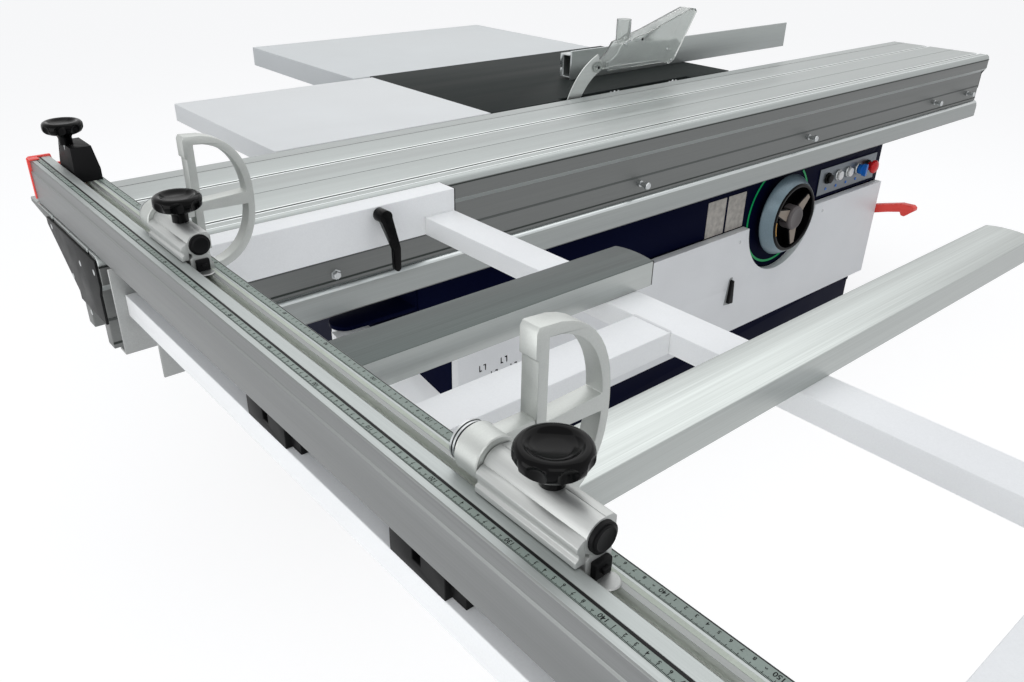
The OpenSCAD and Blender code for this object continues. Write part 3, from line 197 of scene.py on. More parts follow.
def pick(piece):
    """Selects a piece alone and makes it the active one."""
    bpy.ops.object.select_all(action="DESELECT")
    piece.select_set(True)
    bpy.context.view_layer.objects.active = piece


def rounded(piece, width, steps=2, angle=38):
    """Rounds the edges sharper than angle by width in mm and returns the piece."""
    pick(piece)
    bevel = piece.modifiers.new("edges", "BEVEL")
    bevel.width = width / 1000
    bevel.segments = steps
    bevel.limit_method = "ANGLE"
    bevel.angle_limit = math.radians(angle)
    bpy.ops.object.modifier_apply(modifier=bevel.name)
    return piece


def dress(node, material, edge=0.0, steps=2, others=()):
    """A copy of a CAD node with its edges rounded as the real piece's are, edge in mm and drawn
    in steps. others are (test of a face's centre in mm and its normal, material) pairs for
    the faces with another finish or with painted light or shade."""
    pick(frame["nodes"][node])
    bpy.ops.object.duplicate()
    piece = bpy.context.active_object
    body = piece["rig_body"]
    piece.parent = None
    del piece["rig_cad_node"]
    piece.name = node + "_finished"
    piece.data.materials.clear()
    bpy.ops.object.mode_set(mode="EDIT")
    bpy.ops.mesh.select_all(action="SELECT")
    bpy.ops.mesh.remove_doubles(threshold=0.00001)
    # Facets that lie in one plane become one face, so that only real edges are rounded.
    bpy.ops.mesh.dissolve_limited(angle_limit=math.radians(0.6))
    bpy.ops.object.mode_set(mode="OBJECT")
    if edge:
        rounded(piece, edge, steps)
    bpy.ops.object.shade_smooth_by_angle(angle=math.radians(32))
    piece.data.materials.append(material)
    for number, (test, other) in enumerate(others, 1):
        piece.data.materials.append(other)
        for face in piece.data.polygons:
            if test(face.center * 1000, face.normal):
                face.material_index = number
    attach(piece, body)
    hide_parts(node)


navy = coat("navy powder coat", "#030722", 0.42, 0.012)
dress("plinth", navy, 1.2)

# Cabinet. Welded sheet steel, 3 mm thick, with a raised box that carries the cast table and
# a box beam in front that carries the rail. The beam's lobe backs the handwheel. The arm's
# bracket and the tables' braces are welded up from plate and screwed on.
dress("cabinet_shell", navy, 0.8)
dress("support_beam", navy, 1.2)
dress("arm_bracket", navy, 1)
dress("table_braces", navy, 1)


# Green ring. A painted line of enamel round the handwheel on the navy lobe. It is open at the
# top, where the rail hides it.
def corners(node):
    """The lowest and the highest corner of a CAD node, in mm to a tenth."""
    return [[round(v * 1000, 1) for v in corner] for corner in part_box(node)]


def middle_of(node):
    """The middle of a CAD node's box, in mm to a tenth."""
    return [round((a + b) / 2, 1) for a, b in zip(*corners(node))]


def settle(piece, name, material, body, smooth=32):
    """Names a finished piece, gives it its material and hangs it on its body."""
    pick(piece)
    piece.name = name
    bpy.ops.object.shade_smooth_by_angle(angle=math.radians(smooth))
    if not piece.data.materials:
        piece.data.materials.append(material)
    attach(piece, body)


def plate(outlines, plane, low, high):
    """A flat piece from low to high across its plane, all in mm. The first outline is its rim
    and the others are its holes. plane is XY or XZ."""
    flat = bpy.data.curves.new("outline", "CURVE")
    flat.dimensions = "2D"
    flat.fill_mode = "BOTH"
    flat.extrude = (high - low) / 2000
    for outline in outlines:
        line = flat.splines.new("POLY")
        line.points.add(len(outline) - 1)
        for point, (u, v) in zip(line.points, outline):
            point.co = (u / 1000, v / 1000, 0, 1)
        line.use_cyclic_u = True
    piece = bpy.data.objects.new("outline", flat)
    bpy.context.collection.objects.link(piece)
    pick(piece)
    bpy.ops.object.convert(target="MESH")
    level = (low + high) / 2000
    if plane == "XZ":
        piece.rotation_euler = (math.pi / 2, 0, 0)
        piece.location = (0, level, 0)
    else:
        piece.location = (0, 0, level)
    bpy.ops.object.transform_apply(location=True, rotation=True, scale=True)
    bpy.ops.object.mode_set(mode="EDIT")
    bpy.ops.mesh.select_all(action="SELECT")
    bpy.ops.mesh.remove_doubles(threshold=0.00001)
    bpy.ops.mesh.normals_make_consistent(inside=False)
    bpy.ops.object.mode_set(mode="OBJECT")
    return piece


def arc(x, z, r, start, end, steps=24):
    """Points on an arc about x, z, from start to end in degrees."""
    angles = [math.radians(start + (end - start) * i / steps) for i in range(steps + 1)]
    return [(x + r * math.cos(a), z + r * math.sin(a)) for a in angles]


wheel_x, _, wheel_z = middle_of("handwheel")
beam_front = corners("support_beam")[0][1]
ring_out, ring_in = 163.5, 156.5
# The gap at the top runs from 48 to 112 degrees, so the line goes round from 112 to 408.
gap_end, gap_start = 112, 408
enamel = coat("green enamel", "#06a55a", 0.35, 0.2)
ring = plate([arc(wheel_x, wheel_z, ring_out, gap_end, gap_start, 60)
              + arc(wheel_x, wheel_z, ring_in, gap_start, gap_end, 60)],
             "XZ", beam_front - 0.8, beam_front)
settle(ring, "green_ring", enamel, "cabinet")


# Instruction plates. Two bare printed sheets of thin aluminium, side by side and glued to the
# navy beam beside the handwheel.
def oblong(u0, v0, u1, v1):
    """The outline of a rectangle between two corners."""
    return [(u0, v0), (u1, v0), (u1, v1), (u0, v1)]


# A printed sheet looks mottled and matt, because the ink stands in blots about 11 mm wide.
printed_sheet = surface("printed aluminium sheet", "#a8a39b", 0.5, 0.1, 0.3, fine=90, cloud=60, grain=0.02)
sheet_w, sheet_z0, sheet_z1, sheet_t = 85, 488, 598, 1.2
for number, x in enumerate((64, 160)):
    sheet = plate([oblong(x, sheet_z0, x + sheet_w, sheet_z1)], "XZ", beam_front - sheet_t, beam_front)
    settle(sheet, "instruction_plate_%d" % number, printed_sheet, "cabinet")


# Dust outlet. A steel spigot for a hose at the back of the cabinet, welded to a flange that
# four screws hold.
def steel(name, code, rough):
    """Ground or turned steel. The tool leaves fine marks 1 mm apart and a satin sheen."""
    return surface(name, code, rough, 1, 0.15, fine=900, cloud=30, grain=0.08, depth=0.3)


bright_steel = steel("ground steel", "#b4b7b8", 0.3)
dress("dust_spigot", bright_steel, 0.6)

# Service flap. A folded tray of light grey powder-coated sheet with pressed louvres, hinged
# along its foot and held by two screws at its upper corners.
panel_grey = coat("light grey powder coat", "#e9eae9", 0.4)
dress("service_flap", panel_grey, 1.6, 3)


def turned(place, axis, rings, sides=48):
    """A piece turned about its axis, all in mm: a disc at place, drawn out ring by ring. rings
    are (radius, distance along the axis) pairs."""
    bpy.ops.object.select_all(action="DESELECT")
    bpy.ops.mesh.primitive_circle_add(vertices=sides, radius=rings[0][0] / 1000, fill_type="NGON")
    piece = bpy.context.active_object
    bpy.ops.object.mode_set(mode="EDIT")
    bpy.ops.mesh.select_all(action="SELECT")
    bpy.ops.transform.translate(value=(0, 0, rings[0][1] / 1000))
    for (r0, z0), (r1, z1) in zip(rings, rings[1:]):
        bpy.ops.mesh.extrude_region_move(TRANSFORM_OT_translate={"value": (0, 0, (z1 - z0) / 1000)})
        bpy.ops.transform.resize(value=(r1 / r0, r1 / r0, 1), center_override=(0, 0, z1 / 1000))
    bpy.ops.mesh.select_all(action="SELECT")
    bpy.ops.mesh.normals_make_consistent(inside=False)
    bpy.ops.object.mode_set(mode="OBJECT")
    piece.rotation_mode = "QUATERNION"
    piece.rotation_quaternion = Vector(axis).to_track_quat("Z", "Y")
    piece.location = Vector(place) / 1000
    bpy.ops.object.transform_apply(location=True, rotation=True, scale=True)
    return piece


def copies(model, places):
    """Copies of a model made at the origin, one at each place in mm and each with its own mesh.
    The model itself goes."""
    made = []
    for place in places:
        pick(model)
        bpy.ops.object.duplicate()
        copy = bpy.context.active_object
        copy.location = Vector(place) / 1000
        bpy.ops.object.transform_apply(location=True, rotation=True, scale=True)
        made.append(copy)
    bpy.data.objects.remove(model)
    return made


origin = (0, 0, 0)
to_front = (0, -1, 0)
flap_front = corners("service_flap")[0][1]
domed_head = turned(origin, to_front, [(5, 0), (5, 1), (3.5, 2.4), (1.5, 2.6), (1.4, 1.4)])
screw_y = flap_front + 0.3
for number, screw in enumerate(copies(domed_head, [(214, screw_y, 450), (667, screw_y, 453)])):
    settle(screw, "flap_screw_%d" % number, bright_steel, "flap")


# Flap latch. A black nylon finger pull in the flap: a wedge, narrow at its top, that turns
# about a boss and lies in a shallow shaded recess.
def moulded(name, code, rough, grain=0.05, mirror=0.3):
    """Moulded plastic. The mould leaves an even skin, with a faint texture and hand marks.
    mirror is its specular level."""
    made = surface(name, code, rough, 0, 0.12, fine=700, cloud=25, grain=grain, depth=0.5)
    return tune(made, ("Specular IOR Level", mirror))


dull_black = moulded("textured black nylon", "#121213", 0.5, 0.15, 0.1)
shaded_grey = coat("shadowed grey coat", "#9b9d9c", 0.5)
recess = plate([[(174, 248), (204, 244), (210, 256), (203, 336), (192, 338), (186, 330)]],
               "XZ", flap_front - 0.6, flap_front + 0.1)
settle(recess, "latch_recess", shaded_grey, "flap")
pull = plate([[(184, 254), (206, 251), (207, 258), (200, 329), (192, 332), (190, 326)]],
             "XZ", flap_front - 11.5, flap_front - 0.4)
settle(rounded(pull, 2), "latch_pull", dull_black, "latch")
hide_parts("flap_latch")

# Tilt handwheel. A moulded black bowl whose tapered outer wall is enamelled blue-grey. Three
# spokes with beige faces carry its flat grey hub, and an amber mark shows its place.
phenolic = moulded("polished black phenolic", "#020203", 0.12, 0.01, 0.09)
# Sprayed enamel over the bowl's rim: satin, with a wide soft cloud where hands have worn it.
rim_enamel = surface("blue-grey rim enamel", "#6c7f88", 0.32, 0.2, 0.25, fine=300, cloud=6, grain=0.03)
wheel_front, wheel_back = -400, -356
outer_wall_r = 108
bowl = turned((wheel_x, wheel_back, wheel_z), to_front, [
    (60, 0), (123, 0), (128, 1.5), (130, 5), (129, 9), (124, 18), (114, 33), (109, 40), (106, 43),
    (102, 44), (98, 43), (96, 39), (94, 14), (60, 12)], 96)
bowl.data.materials.append(phenolic)
bowl.data.materials.append(rim_enamel)
for face in bowl.data.polygons:
    reach = math.hypot(face.center.x * 1000 - wheel_x, face.center.z * 1000 - wheel_z)
    if reach > outer_wall_r:
        face.material_index = 1
settle(bowl, "handwheel_bowl", phenolic, "tilt_wheel")
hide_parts("handwheel")
hub = turned((wheel_x, wheel_back - 10, wheel_z), to_front,
             [(38, 0), (38, 34), (35, 38), (30, 39), (26, 37), (1, 36)])
hub_grey = moulded("worn grey nylon", "#5a5554", 0.45)
settle(hub, "handwheel_hub", hub_grey, "tilt_wheel")


def taper(lean, start, half_start, end, half_end):
    """The outline of a spoke about the wheel's middle, which leans by lean in degrees."""
    turn = math.radians(lean)
    along = Vector((math.cos(turn), -math.sin(turn)))
    across = Vector((-along.y, along.x))
    return [Vector((wheel_x, wheel_z)) + along * u + across * v for u, v in [
        (start, half_start), (end, half_end), (end, -half_end), (start, -half_start)]]


beige_face = moulded("beige insert", "#93877a", 0.5)
for number, lean in enumerate((80, 200, 320)):
    spoke = plate([taper(lean, 30, 23, 94, 12)], "XZ", wheel_front + 6, wheel_front + 34)
    settle(rounded(spoke, 4, 3), "handwheel_spoke_%d" % number, phenolic, "tilt_wheel")
    wedge = plate([taper(lean, 37, 18, 90, 8)], "XZ", wheel_front + 4.4, wheel_front + 7)
    settle(wedge, "handwheel_wedge_%d" % number, beige_face, "tilt_wheel")
amber = moulded("amber indicator", "#b8862c", 0.3)
mark = plate([arc(wheel_x, wheel_z, 101, 178, 204) + arc(wheel_x, wheel_z, 97, 204, 178)], "XZ",
             wheel_front - 0.4, wheel_front + 3)
settle(mark, "handwheel_mark", amber, "tilt_wheel")

# Rise handwheel. A smaller spoked wheel of black phenolic with a spinning grip, pinned to its
# shaft at the infeed end of the cabinet.
dress("rise_wheel", phenolic, 1)

# Lock lever. A flat red nylon lever with a hooked end, moulded onto a steel shaft at the
# cabinet's infeed end.
red_nylon = moulded("red nylon", "#ff544c", 0.38)
dress("red_lever", red_nylon, 5, 3)

# Control panel. Bare brushed plate with a row of push buttons in screwed collars, a blue
# selector and a red mushroom stop button. Small blue studs mark each control.
brushed_plate = steel("brushed panel plate", "#70757a", 0.42)
dress("control_panel", brushed_plate, 0.4)
panel_front = corners("control_panel")[0][1]
control_z = middle_of("button_1")[2]
signal_red = moulded("red ABS", "#d4141b", 0.25)
stop_cap = turned((middle_of("estop")[0], panel_front - 8, control_z), to_front, [
    (7, -20), (7, 0.4), (15, 0.5), (15, 8), (21, 11), (23, 15), (23, 19), (20, 24), (14, 27),
    (5, 28.5), (1, 28.6)])
settle(stop_cap, "stop_button_cap", signal_red, "stop_button")
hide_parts("estop")
blue_abs = moulded("blue ABS", "#1668bd", 0.25)
dress("selector", blue_abs, 2)
white_abs = moulded("white ABS", "#e9e9e6", 0.3)
dress("button_1", white_abs, 1.5)
dress("button_2", white_abs, 1.5)
dress("button_3", dull_black, 1.5)
controls = ["button_3", "button_2", "button_1", "selector", "estop"]
control_x = [middle_of(node)[0] for node in controls]
ring_model = turned(origin, to_front, [(19, 0), (19, 3), (17.5, 5), (16.4, 5), (16, 1.2)])
for number, collar in enumerate(copies(ring_model, [(x, panel_front, control_z) for x in control_x])):
    finish = dull_black if controls[number] in ("button_3", "estop") else bright_steel
    settle(collar, "button_collar_%d" % number, finish, "cabinet")
stud_model = turned(origin, to_front, [(5, 0), (5, 1), (4, 2), (1, 2.2)], 24)
stud_places = [(x - 4, panel_front, control_z - 36) for x in control_x]
for number, stud in enumerate(copies(stud_model, stud_places)):
    settle(stud, "panel_stud_%d" % number, blue_abs, "cabinet")

# Cast-iron table. Grey iron on the cabinet's raised box, ground flat on top. The wheel leaves
# fine lines along the machine, and oil keeps the iron dark.
ground_iron = surface("ground cast iron", "#1e2322", 0.58, 0, 0.3, (0.01, 1, 1), fine=450, cloud=12)
dress("iron_table", tune(ground_iron, ("Specular IOR Level", 0.06)), 1.5)

# Extension tables. Folded steel trays, powder coated white, with softly rounded edges, screwed
# to the cast table. Their coats are darker copies of the white as painted shade, and the rip-side one's is
# darker still.
white_coat = coat("white powder coat", "#f6f7f6", 0.4)
dress("outfeed_table", coat("white powder coat, painted shade", "#dcdedd", 0.45), 3, 3)
dress("ripside_table", coat("white powder coat, deeper painted shade", "#d2d5d4", 0.5), 3, 3)


# Base rail and carriage. Extruded aluminium, anodised silver, with the die's fine lines along
# X. Lighter and darker copies of the silver paint light on their tops and shade on their sides
# and undersides, and black plates close the carriage's ends. Its ten rollers run on steel axles between
# the two.
def extruded(name, code, rough, along="X", spread=0.12):
    """Anodised extrusion. The die draws fine lines, 1.2 mm apart, under a satin oxide skin."""
    stretch = (0.004, 1, 1) if along == "X" else (1, 0.004, 1)
    return surface(name, code, rough, 0.92, spread, stretch, fine=850, cloud=30, grain=0.08, depth=0.3)


def is_side(centre, normal):
    """The carriage's flanks, below the rounded edge of its top, which take the painted shade."""
    return abs(normal.z) < 0.5 and centre.z < 858


# Four copies of one anodised silver stand for light and shade: a painted highlight, painted light, painted
# shade and, on the rail's sides, a painted half shade between.
silver_painted_light = extruded("anodised aluminium, painted light", "#a4a9a8", 0.42)
silver_painted_shade = extruded("anodised aluminium, painted shade", "#727473", 0.48, spread=0.1)
silver_painted_highlight = extruded("anodised aluminium, painted highlight", "#c3c8c8", 0.3)
rail_shade = extruded("shaded rail side", "#979b9a", 0.42)
dress("base_rail", silver_painted_highlight, 1.2, 3, [
    (lambda centre, normal: normal.z < 0.5, rail_shade),
    (lambda centre, normal: normal.z < -0.15, silver_painted_shade)])
dress("carriage_profile", silver_painted_light, 1.5, 3, [(is_side, silver_painted_shade)])
dress("carriage_ends", moulded("black end plate", "#1c1d1d", 0.45, 0.1, 0.12), 0.8)
dress("middle_carriage", bright_steel, 1)


def bar(low, high, edge):
    """A bar between two corners in mm, with its edges softened."""
    bpy.ops.object.select_all(action="DESELECT")
    middle = [(a + b) / 2000 for a, b in zip(low, high)]
    bpy.ops.mesh.primitive_cube_add(size=0.001, location=middle)
    piece = bpy.context.active_object
    piece.scale = [b - a for a, b in zip(low, high)]
    bpy.ops.object.transform_apply(location=True, rotation=True, scale=True)
    bpy.ops.object.mode_set(mode="EDIT")
    bpy.ops.mesh.select_all(action="SELECT")
    bpy.ops.mesh.bevel(offset=edge / 1000, segments=2 if edge > 0.5 else 1, affect="EDGES")
    bpy.ops.object.mode_set(mode="OBJECT")
    return piece


def strip(name, low, high, material, body, edge=0.1):
    """A line that is drawn along an extrusion, between two corners in mm."""
    settle(bar(low, high, edge), name, material, body)


# Each line is painted light or shade: a painted highlight along each slot edge and along the near edge of
# the top, and painted shade in the grooves.
(car_x0, lip_front, _), (car_x1, _, table_z) = corners("carriage_profile")
wall_front = lip_front + 14
slot_edge_highlight = extruded("painted slot-edge highlight", "#e6ebea", 0.3)
deep_groove = extruded("shadowed groove", "#3c403e", 0.55)
shallow_groove_shade = extruded("painted shallow-groove shade", "#585b5a", 0.55)
for number, (y, width, finish) in enumerate([
    (-166.5, 5, slot_edge_highlight), (-155.5, 5, slot_edge_highlight), (-360, 5, slot_edge_highlight), (-349, 5, slot_edge_highlight),
    (-60, 1.2, deep_groove), (-255, 1.2, deep_groove), (-382, 2.5, slot_edge_highlight),
]):
    strip("carriage_line_%d" % number, (car_x0, y - width / 2, table_z - 0.1),
          (car_x1, y + width / 2, table_z + 0.25), finish, "carriage")
for number, (face, z, height, finish) in enumerate([
    (lip_front - 0.5, 853, 3, deep_groove), (wall_front - 0.4, 811, 4, shallow_groove_shade),
    (wall_front - 0.4, 756, 5, shallow_groove_shade), (wall_front - 0.4, 712, 4, deep_groove),
]):
    strip("carriage_side_line_%d" % number, (car_x0, face, z - height / 2),
          (car_x1, face + 0.6, z + height / 2), finish, "carriage")

# Carriage fasteners. Turned steel studs with collars and one hexagon bolt in the side slot, and
# countersunk screws that hold the end plates.
side_y = wall_front + 1
collared_stud = turned(origin, to_front, [(8, 0), (8, 8), (5, 9), (5, 22), (9, 23), (9, 32), (7.5, 34),
                                          (1, 34.2)], 24)
stud_places = [(x, side_y, 740) for x in (-303, 453, 1251, 1507)]
for number, stud in enumerate(copies(collared_stud, stud_places)):
    settle(stud, "carriage_stud_%d" % number, bright_steel, "carriage")
hex_head = [(11, 0), (11, 2), (8.5, 2.4), (8.5, 8), (7, 9.5), (1, 9.6)]
bolt = turned((-1170, side_y, 724), to_front, hex_head, 6)
settle(bolt, "carriage_bolt", bright_steel, "carriage")
flat_head = [(5, 0), (5, 0.3), (4.7, 0.4), (1.7, 0.4), (1.5, 0.25)]
(end_x0, _, _), (end_x1, _, _) = corners("carriage_ends")
lip_screw, *wall_screws = [(-155, 852), (-231, 784), (-377, 840), (-300, 740), (-300, 830)]
for name, x, axis, first, screws in [
    ("end_screw", end_x0 + 0.2, (-1, 0, 0), 0, [lip_screw] + wall_screws),
    ("infeed_end_screw", end_x1 - 0.2, (1, 0, 0), 1, wall_screws),
]:
    heads = copies(turned(origin, axis, flat_head, 24), [(x, y, z) for y, z in screws])
    for number, screw in enumerate(heads, first):
        settle(screw, "%s_%d" % (name, number), bright_steel, "carriage")

# Outrigger frame. Box tubes welded into a frame and powder coated white, with a black seal on
# the face of the clamping tube that meets the carriage.
seal_y = -401.2
for tube in ("side_tubes", "cross_tubes"):
    dress(tube, white_coat, 3, 3)
dress("tube_a", white_coat, 3, 3, [(lambda centre, normal: centre.y > seal_y, dull_black)])
weld = coat("painted weld", "#e4e5e4", 0.45)
bead_z = 823.3
for number, (x, y, axis, length) in enumerate([
    (-1005, -451, (1, 0, 0), 70), (-1005, -1069, (0, 1, 0), 73), (-1505, -1069, (0, 1, 0), 73),
    (-1005, -1700, (0, 1, 0), 70), (-1505, -1700, (0, 1, 0), 70),
]):
    bead = turned((x, y, bead_z), axis, [(1, 0), (2.6, 1.2), (3, 3), (3, length - 3),
                                         (2.6, length - 1.2), (1, length)], 12)
    settle(bead, "weld_bead_%d" % number, weld, "outrigger")

# Slats. Two crowned aluminium extrusions across the frame, brushed along their length, with
# black nylon caps in their ends. The brush leaves long scratches 1.7 mm apart.
brush_lines = {"stretch": (0.006, 1, 1), "fine": 600, "cloud": 40, "depth": 0.3}
# Slat 1's top takes a dark copy of the brushed aluminium, a painted dark reflection.
slat_dark_reflection = surface("brushed slat, painted dark reflection", "#525857", 0.42, 0.92, 0.3, **brush_lines)
new_slat = surface("brushed aluminium slat", "#b3b8b6", 0.36, 0.92, 0.24, **brush_lines)
slat_side = extruded("slat side", "#b0b4b2", 0.4, spread=0.14)
for node, finish in (("slat_1", slat_dark_reflection), ("slat_2", new_slat)):
    dress(node, finish, 2, 3, [(lambda centre, normal: abs(normal.z) < 0.6, slat_side)])
dress("end_caps", dull_black, 1)


# Outrigger fittings. Black moulded fence rests, bent brackets of bare aluminium sheet at the
# fence's pivot, and a clamping lever of polished black phenolic on a steel stud.
def is_sheet(centre, normal):
    """The bent brackets among the fittings: the hanging tab and the plate by the carriage."""
    return -572 < centre.y < -528 or centre.x < -1530 and centre.z < 871 and centre.y > -456


# Mill-finished sheet: an even dull shine, clouded where it has been handled.
bare_sheet = surface("bare aluminium sheet", "#a2a4a3", 0.42, 0.85, 0.12, cloud=12, grain=0.08)
dress("outrigger_fittings", dull_black, 1, 2, [(is_sheet, bare_sheet)])
dress("clamp_lever", phenolic, 0.8)

# Cross-cut fence. One anodised extrusion along Y with a raised outer strip and a lower deck,
# whose upward faces take a lighter copy of its grey as painted light. Light bands and black
# inked lines run along both, the line beside the slot ends at the pivot block, and a pale green
# strip lies beside the inner scale. A thin light line on the step's edge is a painted highlight,
# and the black lines over the outer strip's groove and at the foot of the step are painted shade.
(fence_x0, fence_y0, _), (_, fence_y1, top_z) = corners("fence_profile")
deck_z = top_z - 18
block_y0 = corners("pivot_block")[0][1]


def in_slot(centre, normal):
    """The walls and the floor of the fence's slot, below its deck."""
    return fence_x0 + 44.5 < centre.x < fence_x0 + 65.5 and top_z - 36 < centre.z < deck_z - 0.5


fence_grey = extruded("grey anodised aluminium", "#7f8181", 0.42, "Y")
fence_top_painted_light = extruded("fence deck, painted top light", "#8d908f", 0.5, "Y")
# The slot's walls throw the light to and fro, so they look paler than the deck.
lit_slot = surface("lit slot", "#dfe2dc", 0.6, 0.1, 0.1, (1, 0.004, 1), fine=850, cloud=30,
                   grain=0.08, depth=0.3)
dress("fence_profile", fence_grey, 1.2, 3, [
    (lambda centre, normal: normal.z > 0.7, fence_top_painted_light), (in_slot, lit_slot)])
ink_and_painted_shade = moulded("black ink line", "#121313", 0.45, 0.05, 0.15)
fence_light_band_and_highlight = extruded("pale band and painted highlight", "#a6abaa", 0.5, "Y")
pale_green = moulded("pale green strip", "#bfc6b9", 0.5, 0.02, 0.2)
slot_line = 48.4
# The dark strips at 18.2 and 38.6 are painted shade, over the groove and at the foot of the step, and the
# light one at 40.4 is a painted highlight on the step's edge; the rest are bands, ink and the green strip.
for number, (u0, u1, z, finish) in enumerate([
    (2.6, 9.4, top_z, fence_light_band_and_highlight), (18.2, 20.8, top_z, ink_and_painted_shade), (21.2, 35.2, top_z, fence_light_band_and_highlight),
    (38.6, 39.6, deck_z, ink_and_painted_shade), (40.4, 41.2, deck_z, fence_light_band_and_highlight), (slot_line, 49.4, deck_z, ink_and_painted_shade),
    (65.6, 70.4, deck_z, pale_green), (70.4, 73.2, deck_z, fence_light_band_and_highlight), (84.6, 85.6, deck_z, ink_and_painted_shade),
]):
    blade_end = block_y0 - 4 if u0 == slot_line else fence_y1 - 1
    strip("fence_line_%d" % number, (fence_x0 + u0, fence_y0 + 1, z - 0.1),
          (fence_x0 + u1, blade_end, z + 0.2), finish, "fence", 0.08)


# Fence scales. Two sage green strips, glued along the outer and the inner edge and printed with
# dark ticks each millimetre and a number each centimetre, counted from the blade.
def in_row(piece, pitch, count):
    """Repeats a piece count times along the fence, pitch apart in mm, and returns it."""
    row = piece.modifiers.new("row", "ARRAY")
    row.use_relative_offset = False
    row.use_constant_offset = True
    row.constant_offset_displace = (0, -pitch / 1000, 0)
    row.count = count
    bpy.ops.object.modifier_apply(modifier=row.name)
    return piece


scale_sage = moulded("sage green scale strip", "#8b978f", 0.4, 0.02, 0.3)
print_black = moulded("dark print", "#1b1e1d", 0.5, 0.02, 0.1)
scale_zero = fence_y1 - 10
scale_length = 1630
for side, x0, x1, z in [("outer", fence_x0 + 9.6, fence_x0 + 17.8, top_z),
                        ("inner", fence_x0 + 73.4, fence_x0 + 84.4, deck_z)]:
    print_z = z + 0.24
    strip("fence_scale_" + side, (x0, fence_y0 + 1, z - 0.1), (x1, fence_y1 - 1, print_z), scale_sage,
          "fence")
    for name, pitch, reach, thick in [("short", 1, 1.6, 0.45), ("middle", 5, 2.4, 0.45),
                                      ("long", 10, 3.2, 0.5)]:
        tick = plate([oblong(x0, scale_zero - thick / 2, x0 + reach, scale_zero + thick / 2)],
                     "XY", print_z, print_z + 0.06)
        settle(in_row(tick, pitch, int(scale_length / pitch)), "scale_ticks_%s_%s" % (side, name),
               print_black, "fence")
    # The digits 1 to 9 stand small at every centimetre, and each tenth has its full number.
    for number in list(range(1, 10)) + list(range(10, 161, 10)):
        bpy.ops.object.select_all(action="DESELECT")
        bpy.ops.object.text_add()
        digits = bpy.context.active_object
        digits.data.body = str(number)
        digits.data.size = (6.2 if number > 9 else 4.6) / 1000
        digits.data.offset = 0.12 / 1000
        digits.data.align_x = "CENTER"
        bpy.ops.object.convert(target="MESH")
        digits.rotation_euler = (0, 0, math.pi / 2)
        digits.location = Vector((x1 - 1.6, scale_zero - number * 10, z + 0.32)) / 1000
        bpy.ops.object.transform_apply(location=True, rotation=True, scale=True)
        if number < 10:
            in_row(digits, 100, 16)
        settle(digits, "scale_number_%s_%d" % (side, number), print_black, "fence")

# Fence end and pivot block. A red nylon cap closes the blade end of the fence, with a lip over
# its top strip. The pivot block is a black moulding that is bolted in the slot.
cap_outline = [(-2, -74), (-2, 0), (2, 3), (38, 3), (41, -14), (90, -15), (93, -24), (93, -74)]
cap = plate([[(fence_x0 + u, top_z + v) for u, v in cap_outline]], "XZ", fence_y1 + 0.2, fence_y1 + 7)
settle(rounded(cap, 1), "fence_end_cap", red_nylon, "fence")
lip = plate([oblong(fence_x0 - 1, fence_y1 - 18, fence_x0 + 15, fence_y1 + 1)],
            "XY", top_z + 0.3, top_z + 2.5)
settle(rounded(lip, 0.6), "fence_end_lip", red_nylon, "fence")
dress("pivot_block", dull_black, 4, 3)


# Hand knobs. Polished black phenolic, pressed in a mould: a flared stem, a rounded rim with
# eight scallops under it and a dished top. The stud of the fence's knob is turned steel.
up = (0, 0, 1)


def hand_knob(node, stem):
    """A knob on a stem, stem mm long, whose top is the node's. Eight cutters make the scallops."""
    height = stem + 22
    neck = [(9, 0), (11, 0.6), (11, stem - 6), (12.4, stem - 3), (15, stem - 0.6), (24, stem + 1.6)]
    rim = [(29, stem + 4), (31.6, stem + 7), (32.5, stem + 10), (32.5, stem + 15), (31.8, stem + 18),
           (30, stem + 20.4), (27.4, stem + 21.7), (24.6, stem + 21.9)]
    dish = [(22.6, stem + 21.2), (20.6, stem + 19.6), (17.6, stem + 17.6), (13, stem + 16.6),
            (1, stem + 16.2)]
    piece = turned(origin, up, neck + rim + dish, 96)
    scallop = turned(origin, up, [(13.8, stem - 6), (13.8, stem + 12), (13, stem + 16), (11, stem + 18.5),
                                  (7, stem + 20), (1, stem + 20.4)], 40)
    turns = [math.radians(number * 45 + 22.5) for number in range(8)]
    cutters = copies(scallop, [(42 * math.cos(turn), 42 * math.sin(turn), 0) for turn in turns])
    pick(cutters[0])
    for cutter in cutters:
        cutter.select_set(True)
    bpy.ops.object.join()
    cut = piece.modifiers.new("scallops", "BOOLEAN")
    cut.operation = "DIFFERENCE"
    cut.solver = "EXACT"
    cut.object = cutters[0]
    pick(piece)
    bpy.ops.object.modifier_apply(modifier=cut.name)
    bpy.data.objects.remove(cutters[0])
    x, y, _ = middle_of(node)
    piece.location = Vector((x, y, corners(node)[1][2] - height)) / 1000
    bpy.ops.object.transform_apply(location=True, rotation=True, scale=True)
    return rounded(piece, 0.7, 2, 30)


pivot_cap = hand_knob("pivot_knob", 18)
settle(pivot_cap, "pivot_knob_cap", phenolic, "fence_knob", 50)
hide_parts("pivot_knob")
stud_x, stud_y, _ = middle_of("pivot_knob")
stud = turned((stud_x, stud_y, corners("pivot_knob")[0][2]), up,
              [(8, 0), (8.8, 0.8), (8.8, 7), (8, 7.9), (4.7, 8), (4.7, 140), (4, 141)], 32)
settle(stud, "pivot_knob_stud", bright_steel, "fence_knob")

# Flip stops. Bead-blasted cast arms, shaped like a D, on drawn bodies that a phenolic knob
# clamps in the fence's slot. Steel washers with a rubber ring stack up behind each hub.
# Blasting leaves a fine even grain and a soft grey shine.
blasted = surface("bead-blasted aluminium", "#bcbfbc", 0.48, 0.8, 0.08, fine=650, cloud=30, grain=0.22)
